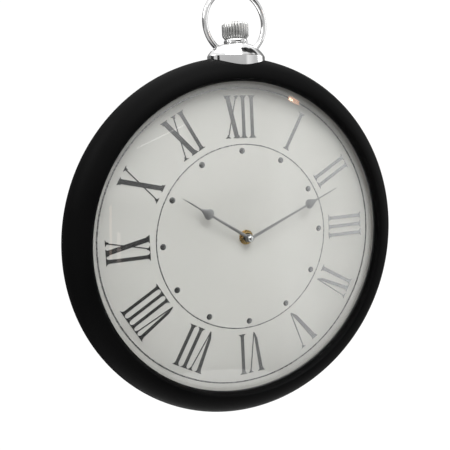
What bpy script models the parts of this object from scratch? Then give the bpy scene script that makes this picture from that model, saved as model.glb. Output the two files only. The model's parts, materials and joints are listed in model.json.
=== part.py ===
"""Pocket-watch wall clock: a quartz clock in a black half-round case, with a chrome pendant and bow.

The origin is where the dial's axis meets the wall. +Z is up and +Y runs into the wall. Most pieces
are drawn in the face frame, as a person in front of the clock sees it: x right, y up, z out of the wall.
Pieces of the pendant stand on the pendant frame: the world's axes, on the pendant's own upright axis.
"""
import math

import bmesh
import bpy
from mathutils import Matrix, Vector

GAP = 0.0003                    # between neighbouring pieces
WELD = 0.00001                  # merge distance
RING_STEPS = 48                 # steps of every large ring, so that their facets run together
SMALL_STEPS = 16                # steps of small turned pieces
BOSS_STEPS = 12                 # steps of screws, bosses and arbors

# Case, as radius from the dial's axis and depth out of the wall
RIM_RADIUS = 0.1582             # to the middle of the half-round section
RIM_DEPTH = 0.0236
RIM_SECTION = 0.0218
RIM_WALL = 0.0026
RIM_BACK_ANGLE = -60            # where the section ends at the back, in degrees
LIP_RADIUS = 0.1551
LIP_DEPTH = 0.0385
GLASS_RADIUS = 0.1589
GLASS_EDGE = 0.0372             # depth of the edge's front, low enough for the dome to clear the lip
GLASS_THICKNESS = 0.0020
GLASS_RISE = 0.0173
DIAL_FRONT = 0.0280
DIAL_BACK = 0.0268
DIAL_RADIUS = 0.1606
SPACER_FRONT = 0.0340
SPACER_INNER = (0.1556, 0.1580)  # at its front and at its back, where it is wider
GASKET_INNER = 0.1558
GASKET_DEPTHS = (0.0343, 0.0349)
RETAINER_WALL = (0.1565, 0.1585)
RETAINER_FOOT = 0.1520
RETAINER_FOOT_THICKNESS = 0.0015
COVER_RADIUS = 0.1670
COVER_BACK = 0.0040
COVER_FRONT = 0.0060
COVER_WINDOW = 0.0350           # half the side of the square opening behind the movement
NAIL_WINDOW = (0.0080, 0.0120)  # half width and half height of the opening behind the keyhole
BOSS_RING = 0.1642
BOSS_RADIUS = 0.0036
BOSS_WEB = 0.0020
BOSS_DEPTHS = (0.0063, 0.0240)
BOSS_ANGLES = (45, 135, 225, 315)
SCREW_RADIUS = 0.0015
SCREW_HOLE = 0.0018             # in the bosses
SCREW_CLEARANCE = 0.0019        # in the cover
SCREW_HEAD = 0.0034
SCREW_TIP = 0.0200
BUMPER_RADIUS = 0.0070
BUMPER_CHAMFER = 0.0010
BUMPER_PLACE = 0.0970

# Hanger plate on the back cover
HANGER_HEIGHT = 0.1280
HANGER_HALF = (0.0220, 0.0130)
HANGER_DEPTHS = (0.0025, 0.0037)
KEYHOLE_HEAD = (0.0045, -0.0040)  # radius of the round hole, and its height over the plate's middle
KEYHOLE_SLOT = (0.0022, 0.0060)  # half width, and the height of its upper end's centre
RIVET_PLACE = 0.0160
RIVET_RADIUS = 0.0017
RIVET_HOLE = 0.0020
RIVET_HEAD = 0.0031             # countersunk into the plate, flush with its back
RIVET_TAIL = 0.0030             # riveted over inside the cover
COUNTERSINK = 0.0010

# Pendant, as heights above the dial's centre
PENDANT_DEPTH = 0.0246          # of its upright axis, out of the wall
BASE_TOP = 0.1924
BASE_ROWS = (                   # half width, half depth and height; the foot is cut to the rim
    (0.0306, 0.0170, 0.1620),
    (0.0306, 0.0170, 0.1798),
    (0.0300, 0.0166, 0.1812),
    (0.0276, 0.0156, 0.1845),
    (0.0238, 0.0142, 0.1878),
    (0.0194, 0.0127, 0.1902),
    (0.0150, 0.0116, 0.1917),
    (0.0112, 0.0106, BASE_TOP),
)
NECK_TOP = 0.1972
NECK_RADII = (0.0104, 0.0113, 0.0119, 0.0116, 0.0102)  # from its top to its foot
CROWN_BOTTOM = 0.1975
CROWN_SHOULDER = 0.2003         # where the lower chamfer reaches the full radius
CROWN_TOP = 0.2125
CROWN_RADIUS = 0.01325
CROWN_ENDS = (0.0108, 0.0122)   # radius at the bottom and at the top
CROWN_FLUTES = 28
FLUTE_DEPTH = 0.0008
STUD_RADIUS = 0.0030
STUD_HOLE = 0.0034
STUD_HEIGHTS = (0.1680, 0.2055)
WASHER_RADIUS = 0.0062
WASHER_HEIGHTS = (0.1745, 0.1756)
NUT_RADIUS = 0.0055             # over its corners
NUT_HEIGHTS = (0.1695, 0.1742)
BOW_RADIUS = 0.03195            # to the middle of the wire
BOW_WIRE = 0.00275
BOW_CENTRE = 0.2130
BALL_RADIUS = 0.0030            # of the bow's ends, which turn in seats in the base
SEAT_RADIUS = 0.0034
SEAT_ENDS = (0.0172, 0.0320)    # distance of each seat's ends from the upright axis
HINGE_HEIGHT = 0.1886
PIN_RADIUS = 0.0010
PIN_END = 0.0135

# Hands and the stack of pieces on the dial's axis
HOUR_ANGLE = -56.4              # clockwise from twelve, in degrees
MINUTE_ANGLE = 67.5
HOUR_DEPTHS = (0.0364, 0.0370)
MINUTE_DEPTHS = (0.0390, 0.0395)
HOUR_HUB = 0.0042
MINUTE_HUB = 0.0034
HOUR_COLLAR_BACK = 0.0332
MINUTE_COLLAR_BACK = 0.0379
SHAFT_START = (0.0060, 0.0016)  # distance and half width where a hand's shaft leaves its hub
HOUR_SPADE = (0.0445, 0.0500, 0.0607, 0.0055, 0.0012, 0.0009)
MINUTE_SPADE = (0.0694, 0.0750, 0.0861, 0.0050, 0.0010, 0.0008)
HOUR_TIP = (0.0810, 0.0005)
MINUTE_TIP = (0.1120, 0.0004)
CAP_RADIUS = 0.0030
CAP_HEIGHT = 0.0012
STEM_RADIUS = 0.0040
STEM_FRONT = 0.0326
STEM_GASKET = (0.0090, 0.0257)  # outer radius, and the depth of its back
DIAL_WASHER = (0.00745, 0.0291)  # outer radius, and the depth of its front
STEM_NUT = 0.0062               # radius over its corners
STEM_NUT_DEPTHS = (0.0294, 0.0320)
PIPE_RADIUS = 0.00255
PIPE_FRONT = 0.0375
ARBOR_RADIUS = 0.00145
ARBOR_FRONT = 0.0401
ARBOR_TAIL = (0.0010, 0.0190)   # radius, and the depth of its back

# Movement case
CASE_HALF_WIDTH = 0.0280
CASE_BOTTOM = -0.0300
CASE_TOP = 0.0280
CASE_FRONT = 0.0254
CASE_WALL = 0.0014
CASE_BACK = 0.0110
MOVEMENT_COVER_BACK = 0.0094
BAY_DIVIDER = -0.0115           # its upper face, under the gears
BATTERY_HEIGHT = -0.0206
BATTERY_DEPTH = 0.0164
BATTERY_RADIUS = 0.00725
BATTERY_ENDS = (-0.0248, 0.0247)
BATTERY_BUTTON = (0.00275, 0.0257)  # radius, and where it ends
CONTACT_HALF = (0.0002, 0.0040, 0.0050)  # half thickness, half height and half depth
CONTACT_GAP = 0.0002            # from the case's wall
SPRING_WIRE = 0.0002
SPRING_TURNS = 2
SPRING_RADII = (0.0042, 0.0024)
SPRING_ENDS = (-0.02635, -0.0253)  # from the case's wall to the cell
BOARD_CORNERS = ((-0.0260, -0.0108, 0.0120), (-0.0115, 0.0160, 0.0128))
CRYSTAL_RADIUS = 0.0015
CRYSTAL_ENDS = ((-0.0200, -0.0040, 0.0147), (-0.0200, 0.0040, 0.0147))
KNOB_RADIUS = 0.0050
KNOB_SHAFT = 0.0014
KNOB_DEPTHS = (0.0070, 0.0091, 0.0210)  # back, shoulder and front of the shaft

# Gears: teeth and module
ROTOR_PINION = (6, 0.00040)
FIFTH_WHEEL = (36, 0.00040)
FIFTH_PINION = (6, 0.00050)
FOURTH_WHEEL = (30, 0.00050)
FOURTH_PINION = (6, 0.00045)
THIRD_WHEEL = (45, 0.00045)
THIRD_PINION = (6, 0.000425)
CENTRE_WHEEL = (48, 0.000425)
CANNON_PINION = (8, 0.00040)
MINUTE_WHEEL = (32, 0.00040)
MINUTE_PINION = (8, 0.00050)
HOUR_WHEEL = (24, 0.00050)
SETTING_PINION = (8, 0.00040)
ADDENDUM = 0.80                 # tooth height over the pitch circle, in modules
DEDENDUM = 1.15
TOOTH_ROOT = 0.52               # tooth width at the root and at the tip, in tooth pitches
TOOTH_TIP = 0.24
THIRD_DIRECTION = 150           # of each arbor from the one before it, in degrees
FIFTH_DIRECTION = 60
MINUTE_DIRECTION = -20
SETTING_DIRECTION = 20
PIVOT_RADIUS = 0.0005
PIVOT_BACK = 0.0110
PIVOT_FRONT = 0.0237

# Back and front of each gear, out of the wall. A pinion starts inside its wheel.
ROTOR_PINION_DEPTHS = (0.0120, 0.0146)
FIFTH_WHEEL_DEPTHS = (0.0122, 0.0130)
FIFTH_PINION_DEPTHS = (0.0126, 0.0171)
FIFTH_PIVOT = 0.0176
FOURTH_WHEEL_DEPTHS = (0.0161, 0.0169)
FOURTH_PINION_DEPTHS = (0.0165, 0.0187)
THIRD_WHEEL_DEPTHS = (0.0177, 0.0185)
THIRD_PINION_DEPTHS = (0.0181, 0.0203)
CENTRE_WHEEL_DEPTHS = (0.0193, 0.0201)
CENTRE_WHEEL_HOLE = 0.0013
CANNON_DEPTHS = (0.0209, 0.0226)
MINUTE_WHEEL_DEPTHS = (0.0214, 0.0222)
MINUTE_PINION_BACK = 0.0218
MINUTE_PIVOT = 0.0210
HOUR_WHEEL_DEPTHS = (0.0229, 0.0237)
SETTING_PINION_DEPTHS = (0.0206, 0.0224)

# Stepper motor
MAGNET_RADIUS = 0.0030
MAGNET_DEPTHS = (0.0141, 0.0163)
ROTOR_PIVOT = 0.0185
STATOR_DEPTHS = (0.0145, 0.0159)
STATOR_SIDES = (-0.0060, 0.0230)
STATOR_HEIGHTS = (0.0106, 0.0190, 0.0250)  # foot, top of the band, and top of the legs
STATOR_LEG = 0.0036
CORE_DEPTHS = (0.0162, 0.0172)
CORE_WIDTH = 0.0018
COIL_HEIGHT = 0.0225
COIL_ENDS = (-0.0010, 0.0180)
COIL_RADIUS = 0.0030
BOBBIN_FLANGE = (0.0032, 0.0010)  # radius and thickness
BOBBIN_WAIST = 0.0021


# ---------------------------------------------------------------- scene and materials

def clear_scene():
    """Start from an empty scene."""
    for old in list(bpy.data.objects):
        bpy.data.objects.remove(old)


def new_collection(name):
    """A collection in the scene."""
    collection = bpy.data.collections.new(name)
    bpy.context.scene.collection.children.link(collection)
    return collection


def new_frame(name, location, rotation=(0, 0, 0)):
    """An empty that carries the pieces drawn in its frame."""
    frame = bpy.data.objects.new(name, None)
    frame.location = location
    frame.rotation_euler = rotation
    PIECES.objects.link(frame)
    return frame


def new_material(name, colour, roughness, metallic=0.0):
    """A plain Principled material."""
    made = bpy.data.materials.new(name)
    made.use_nodes = True
    shader = made.node_tree.nodes["Principled BSDF"]
    shader.inputs["Base Color"].default_value = (*colour, 1.0)
    shader.inputs["Roughness"].default_value = roughness
    shader.inputs["Metallic"].default_value = metallic
    return made


clear_scene()
PIECES = new_collection("pocket_watch_wall_clock")
CUTTERS = new_collection("cutters")
FACE = new_frame("face_frame", (0, 0, 0), (math.radians(90), 0, 0))
PENDANT = new_frame("pendant_frame", (0, -PENDANT_DEPTH, 0))

BLACK_PAINT = new_material("black_paint", (0.010, 0.010, 0.011), 0.55)
CLEAR_GLASS = new_material("clear_glass", (0.90, 0.92, 0.92), 0.03)
DIAL_PAINT = new_material("dial_paint", (0.58, 0.58, 0.55), 0.60)
DARK_PLASTIC = new_material("dark_plastic", (0.035, 0.036, 0.038), 0.50)
WHITE_PLASTIC = new_material("white_plastic", (0.75, 0.74, 0.70), 0.45)
BLACK_RUBBER = new_material("black_rubber", (0.015, 0.015, 0.015), 0.85)
CHROME = new_material("chrome", (0.80, 0.80, 0.82), 0.06, 1.0)
HAND_METAL = new_material("hand_metal", (0.30, 0.30, 0.31), 0.30, 1.0)
STEEL = new_material("steel", (0.50, 0.50, 0.51), 0.32, 1.0)
BRASS = new_material("brass", (0.60, 0.42, 0.16), 0.28, 1.0)
COPPER = new_material("copper", (0.62, 0.25, 0.12), 0.35, 1.0)
BOARD = new_material("board", (0.03, 0.16, 0.07), 0.50)
BATTERY_SKIN = new_material("battery_skin", (0.05, 0.05, 0.06), 0.35)


# ---------------------------------------------------------------- shapes

def add_piece(name, mesh, material, parent=FACE, location=(0, 0, 0)):
    """A piece of the clock, or a tool for one where the material is None."""
    piece = bpy.data.objects.new(name, mesh)
    piece.parent = parent
    piece.location = location
    if material is None:
        CUTTERS.objects.link(piece)
        piece.hide_render = True
        piece.display_type = "WIRE"
    else:
        PIECES.objects.link(piece)
        mesh.materials.append(material)
    return piece


def smooth(mesh):
    """Shade a round piece smooth, with its real edges sharp."""
    mesh.shade_smooth()
    mesh.set_sharp_from_angle(angle=math.radians(35))


def turned(name, profile, material, steps=SMALL_STEPS, parent=FACE, location=(0, 0, 0)):
    """A profile of (radius, height) turned about z. It runs down the outer side and up the inner one."""
    mesh = bpy.data.meshes.new(name)
    points = [(radius, 0, height) for radius, height in profile]
    edges = [(i, i + 1) for i in range(len(points) - 1)]
    if profile[0][0] > 0:
        edges.append((len(points) - 1, 0))
    mesh.from_pydata(points, edges, [])
    piece = add_piece(name, mesh, material, parent, location)
    screw = piece.modifiers.new("turn", "SCREW")
    screw.axis = "Z"
    screw.steps = steps
    screw.render_steps = steps
    screw.use_merge_vertices = True
    screw.merge_threshold = WELD
    screw.use_smooth_shade = False
    return piece


def arc(centre, radius, first, last, count):
    """Points of an arc from one angle to another, in degrees, both ends included."""
    points = []
    for i in range(count + 1):
        angle = math.radians(first + (last - first) * i / count)
        points.append((centre[0] + radius * math.cos(angle), centre[1] + radius * math.sin(angle)))
    return points


def circle(radius, count=SMALL_STEPS, centre=(0, 0)):
    """A closed circle of points, without its first point repeated."""
    return arc(centre, radius, 0, 360, count)[:-1]


def rectangle(low, high):
    """The corners of a rectangle."""
    return [low, (high[0], low[1]), high, (low[0], high[1])]


def mesh_of_curve(curve):
    """The closed mesh that a curve makes, with its caps welded on."""
    holder = bpy.data.objects.new(curve.name, curve)
    bpy.context.scene.collection.objects.link(holder)
    depsgraph = bpy.context.evaluated_depsgraph_get()
    mesh = bpy.data.meshes.new_from_object(holder.evaluated_get(depsgraph))
    bpy.data.objects.remove(holder)
    bpy.data.curves.remove(curve)
    shape = bmesh.new()
    shape.from_mesh(mesh)
    bmesh.ops.remove_doubles(shape, verts=shape.verts, dist=WELD)
    shape.to_mesh(mesh)
    shape.free()
    return mesh


def add_spline(curve, points, closed):
    """A straight-sided spline through points of two or three coordinates."""
    spline = curve.splines.new("POLY")
    spline.points.add(len(points) - 1)
    for target, point in zip(spline.points, points):
        target.co = (*point, *(0,) * (3 - len(point)), 1)
    spline.use_cyclic_u = closed


def plate(name, outlines, depths, material, parent=FACE, location=(0, 0, 0)):
    """Flat outlines, the first the outer one and the rest holes in it, made thick between two depths."""
    curve = bpy.data.curves.new(name, "CURVE")
    curve.dimensions = "2D"
    curve.fill_mode = "BOTH"
    curve.extrude = (depths[1] - depths[0]) / 2
    for outline in outlines:
        add_spline(curve, outline, True)
    mesh = mesh_of_curve(curve)
    mesh.transform(Matrix.Translation((0, 0, (depths[0] + depths[1]) / 2)))
    return add_piece(name, mesh, material, parent, location)


def wire(name, points, radius, material, parent=FACE, location=(0, 0, 0)):
    """A round wire along points."""
    curve = bpy.data.curves.new(name, "CURVE")
    curve.dimensions = "3D"
    curve.bevel_depth = radius
    curve.bevel_resolution = 2
    curve.use_fill_caps = True
    add_spline(curve, points, False)
    mesh = mesh_of_curve(curve)
    smooth(mesh)
    return add_piece(name, mesh, material, parent, location)


def box(name, low, high, material, parent=FACE):
    """A box between two corners."""
    shape = bmesh.new()
    bmesh.ops.create_cube(shape, size=1)
    size = Vector(high) - Vector(low)
    middle = (Vector(high) + Vector(low)) / 2
    bmesh.ops.scale(shape, vec=size, verts=shape.verts)
    mesh = bpy.data.meshes.new(name)
    shape.to_mesh(mesh)
    shape.free()
    return add_piece(name, mesh, material, parent, middle)


def rod(name, radius, start, end, material, steps=BOSS_STEPS, parent=FACE):
    """A round bar from one point to another."""
    start = Vector(start)
    end = Vector(end)
    turn = (end - start).to_track_quat("Z", "Y").to_matrix().to_4x4()
    place = Matrix.Translation((start + end) / 2) @ turn
    shape = bmesh.new()
    bmesh.ops.create_cone(shape, cap_ends=True, segments=steps, radius1=radius, radius2=radius,
                          depth=(end - start).length, matrix=place)
    mesh = bpy.data.meshes.new(name)
    shape.to_mesh(mesh)
    shape.free()
    smooth(mesh)
    return add_piece(name, mesh, material, parent)


def loft(name, rings, material, parent=FACE):
    """A closed body through rings of equally many points, lowest ring first, each anticlockwise."""
    shape = bmesh.new()
    rows = []
    for ring in rings:
        rows.append([shape.verts.new(point) for point in ring])
    for lower, upper in zip(rows, rows[1:]):
        for i in range(len(lower)):
            j = (i + 1) % len(lower)
            shape.faces.new((lower[i], lower[j], upper[j], upper[i]))
    shape.faces.new(list(reversed(rows[0])))
    shape.faces.new(rows[-1])
    mesh = bpy.data.meshes.new(name)
    shape.to_mesh(mesh)
    shape.free()
    smooth(mesh)
    return add_piece(name, mesh, material, parent)


def add_boolean(piece, tool, operation):
    """Join a tool to a piece, or cut it away."""
    modifier = piece.modifiers.new(tool.name, "BOOLEAN")
    modifier.operation = operation
    modifier.solver = "EXACT"
    modifier.object = tool


def cut(piece, *tools):
    """Cut tools away from a piece."""
    for tool in tools:
        add_boolean(piece, tool, "DIFFERENCE")


def join(piece, *tools):
    """Join tools to a piece."""
    for tool in tools:
        add_boolean(piece, tool, "UNION")


def ring(name, inner, outer, depths, material, steps=SMALL_STEPS, parent=FACE, location=(0, 0, 0)):
    """A plain ring with a square section."""
    low, high = depths
    profile = [(inner, high), (outer, high), (outer, low), (inner, low)]
    return turned(name, profile, material, steps, parent, location)


def polar(radius, degrees, start=(0, 0)):
    """The point at a distance and direction from another one."""
    angle = math.radians(degrees)
    return (start[0] + radius * math.cos(angle), start[1] + radius * math.sin(angle))


# ---------------------------------------------------------------- case

def rim_profile():
    """The rim's section: round outside, a rolled lip over the glass, and a thin wall."""
    middle = (RIM_RADIUS, RIM_DEPTH)
    lip = []
    for i in range(4):
        angle = math.radians(180 - 90 * i / 4)
        lip.append((RIM_RADIUS + (RIM_RADIUS - LIP_RADIUS) * math.cos(angle),
                    LIP_DEPTH + (RIM_DEPTH + RIM_SECTION - LIP_DEPTH) * math.sin(angle)))
    outside = arc(middle, RIM_SECTION, 90, RIM_BACK_ANGLE, 10)
    inside = arc(middle, RIM_SECTION - RIM_WALL, RIM_BACK_ANGLE, 86, 6)
    seat = [(LIP_RADIUS + RIM_WALL, LIP_DEPTH)]
    return lip + outside + inside + seat


def screw_boss(degrees):
    """A pillar inside the rim for a cover screw, with the web that ties it to the wall."""
    name = f"boss_{degrees}"
    place = polar(BOSS_RING, degrees)
    low, high = BOSS_DEPTHS
    pillar = rod(name, BOSS_RADIUS, (*place, low), (*place, high), None)
    in_wall = arc((RIM_RADIUS, RIM_DEPTH), RIM_SECTION - RIM_WALL / 2, 0, -45, 4)
    outline = [(BOSS_RING, high)] + in_wall + [(BOSS_RING, low + GAP)]
    web = plate(f"{name}_web", [outline], (-BOSS_WEB / 2, BOSS_WEB / 2), None)
    upright = Matrix.Rotation(math.radians(90), 4, "X")
    web.matrix_local = Matrix.Rotation(math.radians(degrees), 4, "Z") @ upright
    hole = rod(f"{name}_hole", SCREW_HOLE, (*place, low - RIM_WALL), (*place, high - BOSS_WEB), None)
    return pillar, web, hole


def make_case():
    """The rim, with its screw bosses and the hole for the pendant's stud."""
    rim = turned("case_rim", rim_profile(), BLACK_PAINT, RING_STEPS)
    for degrees in BOSS_ANGLES:
        pillar, web, hole = screw_boss(degrees)
        join(rim, pillar, web)
        cut(rim, hole)
    low, high = STUD_HEIGHTS
    cut(rim, rod("stud_hole", STUD_HOLE, (0, 0, low), (0, 0, high), None, parent=PENDANT))


def make_glass():
    """The domed glass, and the gasket behind its edge."""
    rows = 4
    front = []
    for i in range(rows + 1):
        share = math.sin(math.radians(90 * i / rows))
        front.append((GLASS_RADIUS * share, GLASS_EDGE + GLASS_RISE * (1 - share ** 2)))
    back = [(radius, height - GLASS_THICKNESS) for radius, height in reversed(front)]
    turned("glass_dome", front + back, CLEAR_GLASS, RING_STEPS)
    ring("glass_gasket", GASKET_INNER, GLASS_RADIUS, GASKET_DEPTHS, BLACK_RUBBER, RING_STEPS)


def make_dial():
    """The dial plate, the spacer ring in front of it and the retaining ring behind it."""
    spacer_back = DIAL_FRONT + GAP
    spacer = [(SPACER_INNER[0], SPACER_FRONT), (DIAL_RADIUS, SPACER_FRONT), (DIAL_RADIUS, spacer_back),
              (SPACER_INNER[1], spacer_back)]
    turned("spacer_ring", spacer, DARK_PLASTIC, RING_STEPS)
    ring("dial_plate", STEM_RADIUS + GAP, DIAL_RADIUS, (DIAL_BACK, DIAL_FRONT), DIAL_PAINT, RING_STEPS)
    inner, outer = RETAINER_WALL
    front = DIAL_BACK - GAP
    back = COVER_FRONT + GAP
    foot = back + RETAINER_FOOT_THICKNESS
    profile = [(inner, front), (outer, front), (outer, back), (RETAINER_FOOT, back), (RETAINER_FOOT, foot),
               (inner, foot)]
    turned("dial_retaining_ring", profile, DARK_PLASTIC, RING_STEPS)


def rivet_holes():
    """The two holes for the hanger's rivets."""
    return [circle(RIVET_HOLE, 8, (side * RIVET_PLACE, HANGER_HEIGHT)) for side in (-1, 1)]


def make_back_cover():
    """The back cover, with its openings and screw holes, its screws and the wall bumpers."""
    half = COVER_WINDOW
    window = rectangle((-half, -half), (half, half))
    width, height = NAIL_WINDOW
    nail_window = rectangle((-width, HANGER_HEIGHT - height), (width, HANGER_HEIGHT + height))
    holes = [circle(SCREW_CLEARANCE, 8, polar(BOSS_RING, degrees)) for degrees in BOSS_ANGLES]
    outlines = [circle(COVER_RADIUS, RING_STEPS), window, nail_window] + holes + rivet_holes()
    plate("back_cover", outlines, (COVER_BACK, COVER_FRONT), DARK_PLASTIC)
    seat = COVER_BACK - GAP
    for number, degrees in enumerate(BOSS_ANGLES, 1):
        profile = [(0, SCREW_TIP), (SCREW_RADIUS, SCREW_TIP), (SCREW_RADIUS, seat), (SCREW_HEAD, seat),
                   (SCREW_HEAD - 0.0004, seat - 0.0012), (SCREW_HEAD / 2, seat - 0.0016), (0, seat - 0.0016)]
        turned(f"back_screw_{number}", profile, STEEL, BOSS_STEPS, location=(*polar(BOSS_RING, degrees), 0))
    corners = [(-1, 1), (1, 1), (-1, -1), (1, -1)]
    for number, (across, up) in enumerate(corners, 1):
        profile = [(0, seat), (BUMPER_RADIUS, seat), (BUMPER_RADIUS, BUMPER_CHAMFER),
                   (BUMPER_RADIUS - BUMPER_CHAMFER, 0), (0, 0)]
        place = (across * BUMPER_PLACE, up * BUMPER_PLACE, 0)
        turned(f"wall_bumper_{number}", profile, BLACK_RUBBER, SMALL_STEPS, location=place)


def keyhole():
    """A round hole for the nail's head, with a narrow slot above it."""
    head, below = KEYHOLE_HEAD
    slot, above = KEYHOLE_SLOT
    start = math.degrees(math.acos(slot / head))
    around = arc((0, HANGER_HEIGHT + below), head, start, -180 - start, 14)
    upper = arc((0, HANGER_HEIGHT + above), slot, 180, 0, 4)
    return around + upper


def make_hanger():
    """The keyhole plate and its two countersunk rivets, sunk a little so that the plate lies flat."""
    width, height = HANGER_HALF
    outline = rectangle((-width, HANGER_HEIGHT - height), (width, HANGER_HEIGHT + height))
    hanger = plate("hanger_plate", [outline, keyhole()] + rivet_holes(), HANGER_DEPTHS, STEEL)
    rear = HANGER_DEPTHS[0]
    head = rear + GAP / 3
    tail = COVER_FRONT + GAP
    for side, word in ((-1, "left"), (1, "right")):
        place = (side * RIVET_PLACE, HANGER_HEIGHT, 0)
        sink = [(0, rear + COUNTERSINK), (RIVET_HOLE, rear + COUNTERSINK), (RIVET_HEAD + GAP, rear),
                (RIVET_HEAD + GAP, rear - GAP), (0, rear - GAP)]
        cut(hanger, turned(f"countersink_{word}", sink, None, BOSS_STEPS, location=place))
        profile = [(0, tail + 0.0008), (RIVET_TAIL - 0.0004, tail + 0.0008), (RIVET_TAIL, tail),
                   (RIVET_RADIUS, tail), (RIVET_RADIUS, rear + COUNTERSINK), (RIVET_HEAD, head), (0, head)]
        turned(f"hanger_rivet_{word}", profile, STEEL, BOSS_STEPS, location=place)


# ---------------------------------------------------------------- pendant

def oval(width, depth, height, count=32):
    """A level oval ring of points."""
    points = []
    for i in range(count):
        angle = math.tau * i / count
        points.append((width * math.cos(angle), depth * math.sin(angle), height))
    return points


def make_pendant_base():
    """The chrome saddle: an oval foot cut to the rim's curve, domed up to the round neck."""
    base = loft("pendant_base", [oval(*row) for row in BASE_ROWS], CHROME, PENDANT)
    clear = RIM_SECTION + GAP
    around = arc((RIM_RADIUS, RIM_DEPTH), clear, 90, -90, 12)
    envelope = [(0, RIM_DEPTH + clear)] + around + [(0, RIM_DEPTH - clear)]
    cut(base, turned("rim_envelope", envelope, None, RING_STEPS))
    low, high = STUD_HEIGHTS
    cut(base, rod("base_bore", STUD_HOLE, (0, 0, low - BOW_WIRE), (0, 0, high), None, parent=PENDANT))
    inner, outer = SEAT_ENDS
    for side in (-1, 1):
        seat = rod(f"bow_seat_{side}", SEAT_RADIUS, (side * inner, 0, HINGE_HEIGHT),
                   (side * outer, 0, HINGE_HEIGHT), None, SMALL_STEPS, PENDANT)
        hole = rod(f"pin_hole_{side}", PIN_RADIUS + GAP, (side * (PIN_END - GAP), 0, HINGE_HEIGHT),
                   (side * (inner + BALL_RADIUS), 0, HINGE_HEIGHT), None, 8, PENDANT)
        cut(base, seat, hole)


def make_crown():
    """The neck ring and the fluted crown above it."""
    low = BASE_TOP + GAP
    heights = (NECK_TOP, NECK_TOP - 0.0006, NECK_TOP - 0.0020, low + 0.0012, low)
    neck = [(STUD_HOLE, NECK_TOP)] + list(zip(NECK_RADII, heights)) + [(STUD_HOLE, low)]
    turned("pendant_neck_ring", neck, CHROME, 24, PENDANT)
    rings = []
    count = 2 * CROWN_FLUTES
    bottom, top = CROWN_ENDS
    for radius, depth, height in ((bottom, 0, CROWN_BOTTOM), (CROWN_RADIUS, FLUTE_DEPTH, CROWN_SHOULDER),
                                  (CROWN_RADIUS, FLUTE_DEPTH, CROWN_TOP - 0.0010), (top, 0, CROWN_TOP)):
        points = []
        for i in range(count):
            angle = math.tau * i / count
            reach = radius - depth * (i % 2)
            points.append((reach * math.cos(angle), reach * math.sin(angle), height))
        rings.append(points)
    crown = loft("pendant_crown", rings, CHROME, PENDANT)
    bore_end = STUD_HEIGHTS[1] + GAP
    cut(crown, rod("crown_bore", STUD_HOLE, (0, 0, BASE_TOP), (0, 0, bore_end), None, parent=PENDANT))


def make_pendant_fixings():
    """The stud through neck, base and rim, with its washer and nut inside the rim."""
    low, high = STUD_HEIGHTS
    rod("pendant_stud", STUD_RADIUS, (0, 0, low), (0, 0, high), STEEL, parent=PENDANT)
    ring("pendant_washer", STUD_HOLE, WASHER_RADIUS, WASHER_HEIGHTS, STEEL, parent=PENDANT)
    hexagon = circle(NUT_RADIUS, 6)
    plate("pendant_nut", [hexagon, circle(STUD_HOLE, BOSS_STEPS)], NUT_HEIGHTS, STEEL, PENDANT)


def make_bow():
    """The bow, whose ball ends turn on thin pins in the base. Its origin is on the hinge line."""
    lift = BOW_CENTRE - HINGE_HEIGHT
    foot = math.degrees(math.asin(-lift / BOW_RADIUS))
    points = [(x, 0, z) for x, z in arc((0, lift), BOW_RADIUS, foot, 180 - foot, 30)]
    hinge = (0, 0, HINGE_HEIGHT)
    bow = wire("bow", points, BOW_WIRE, CHROME, PENDANT, hinge)
    reach = BOW_RADIUS * math.cos(math.radians(foot))
    for side in (-1, 1):
        ball = bmesh.new()
        bmesh.ops.create_uvsphere(ball, u_segments=12, v_segments=8, radius=BALL_RADIUS)
        mesh = bpy.data.meshes.new(f"bow_ball_{side}")
        ball.to_mesh(mesh)
        ball.free()
        end = add_piece(mesh.name, mesh, None, PENDANT, (side * reach, 0, HINGE_HEIGHT))
        pin = rod(f"bow_pin_{side}", PIN_RADIUS, (side * PIN_END, 0, HINGE_HEIGHT),
                  (side * reach, 0, HINGE_HEIGHT), None, 8, PENDANT)
        join(bow, end, pin)


# ---------------------------------------------------------------- hands and centre stack

def hand_outline(hub, sections):
    """A hand that points up: a round hub, then half widths at growing distances to the tip."""
    first = sections[0][1]
    start = math.degrees(math.acos(first / hub))
    around = arc((0, 0), hub, 180 - start, 360 + start, 16)
    right = [(width, reach) for reach, width in sections]
    left = [(-width, reach) for reach, width in reversed(sections)]
    return around + right + left


def spade(low, wide, high, half_width, shaft, needle):
    """Sections of a spade: a hollow-sided start, its widest place and a long taper into the needle."""
    rise = wide - low
    fall = high - wide
    return [(low, shaft), (low + 0.25 * rise, 0.45 * half_width), (low + 0.6 * rise, 0.85 * half_width),
            (wide, half_width), (wide + 0.25 * fall, 0.86 * half_width),
            (wide + 0.55 * fall, 0.50 * half_width), (high, needle)]


def make_hand(name, degrees, sections, hub, bore, depths, collar_back):
    """A flat hand with a collar behind it, turned clockwise from twelve."""
    hand = plate(name, [hand_outline(hub, sections), circle(bore)], depths, HAND_METAL)
    collar = ring(f"{name}_collar", bore, hub - 0.0003, (collar_back, (depths[0] + depths[1]) / 2), None)
    join(hand, collar)
    for piece in (hand, collar):
        piece.rotation_euler = (0, 0, math.radians(-degrees))


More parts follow.
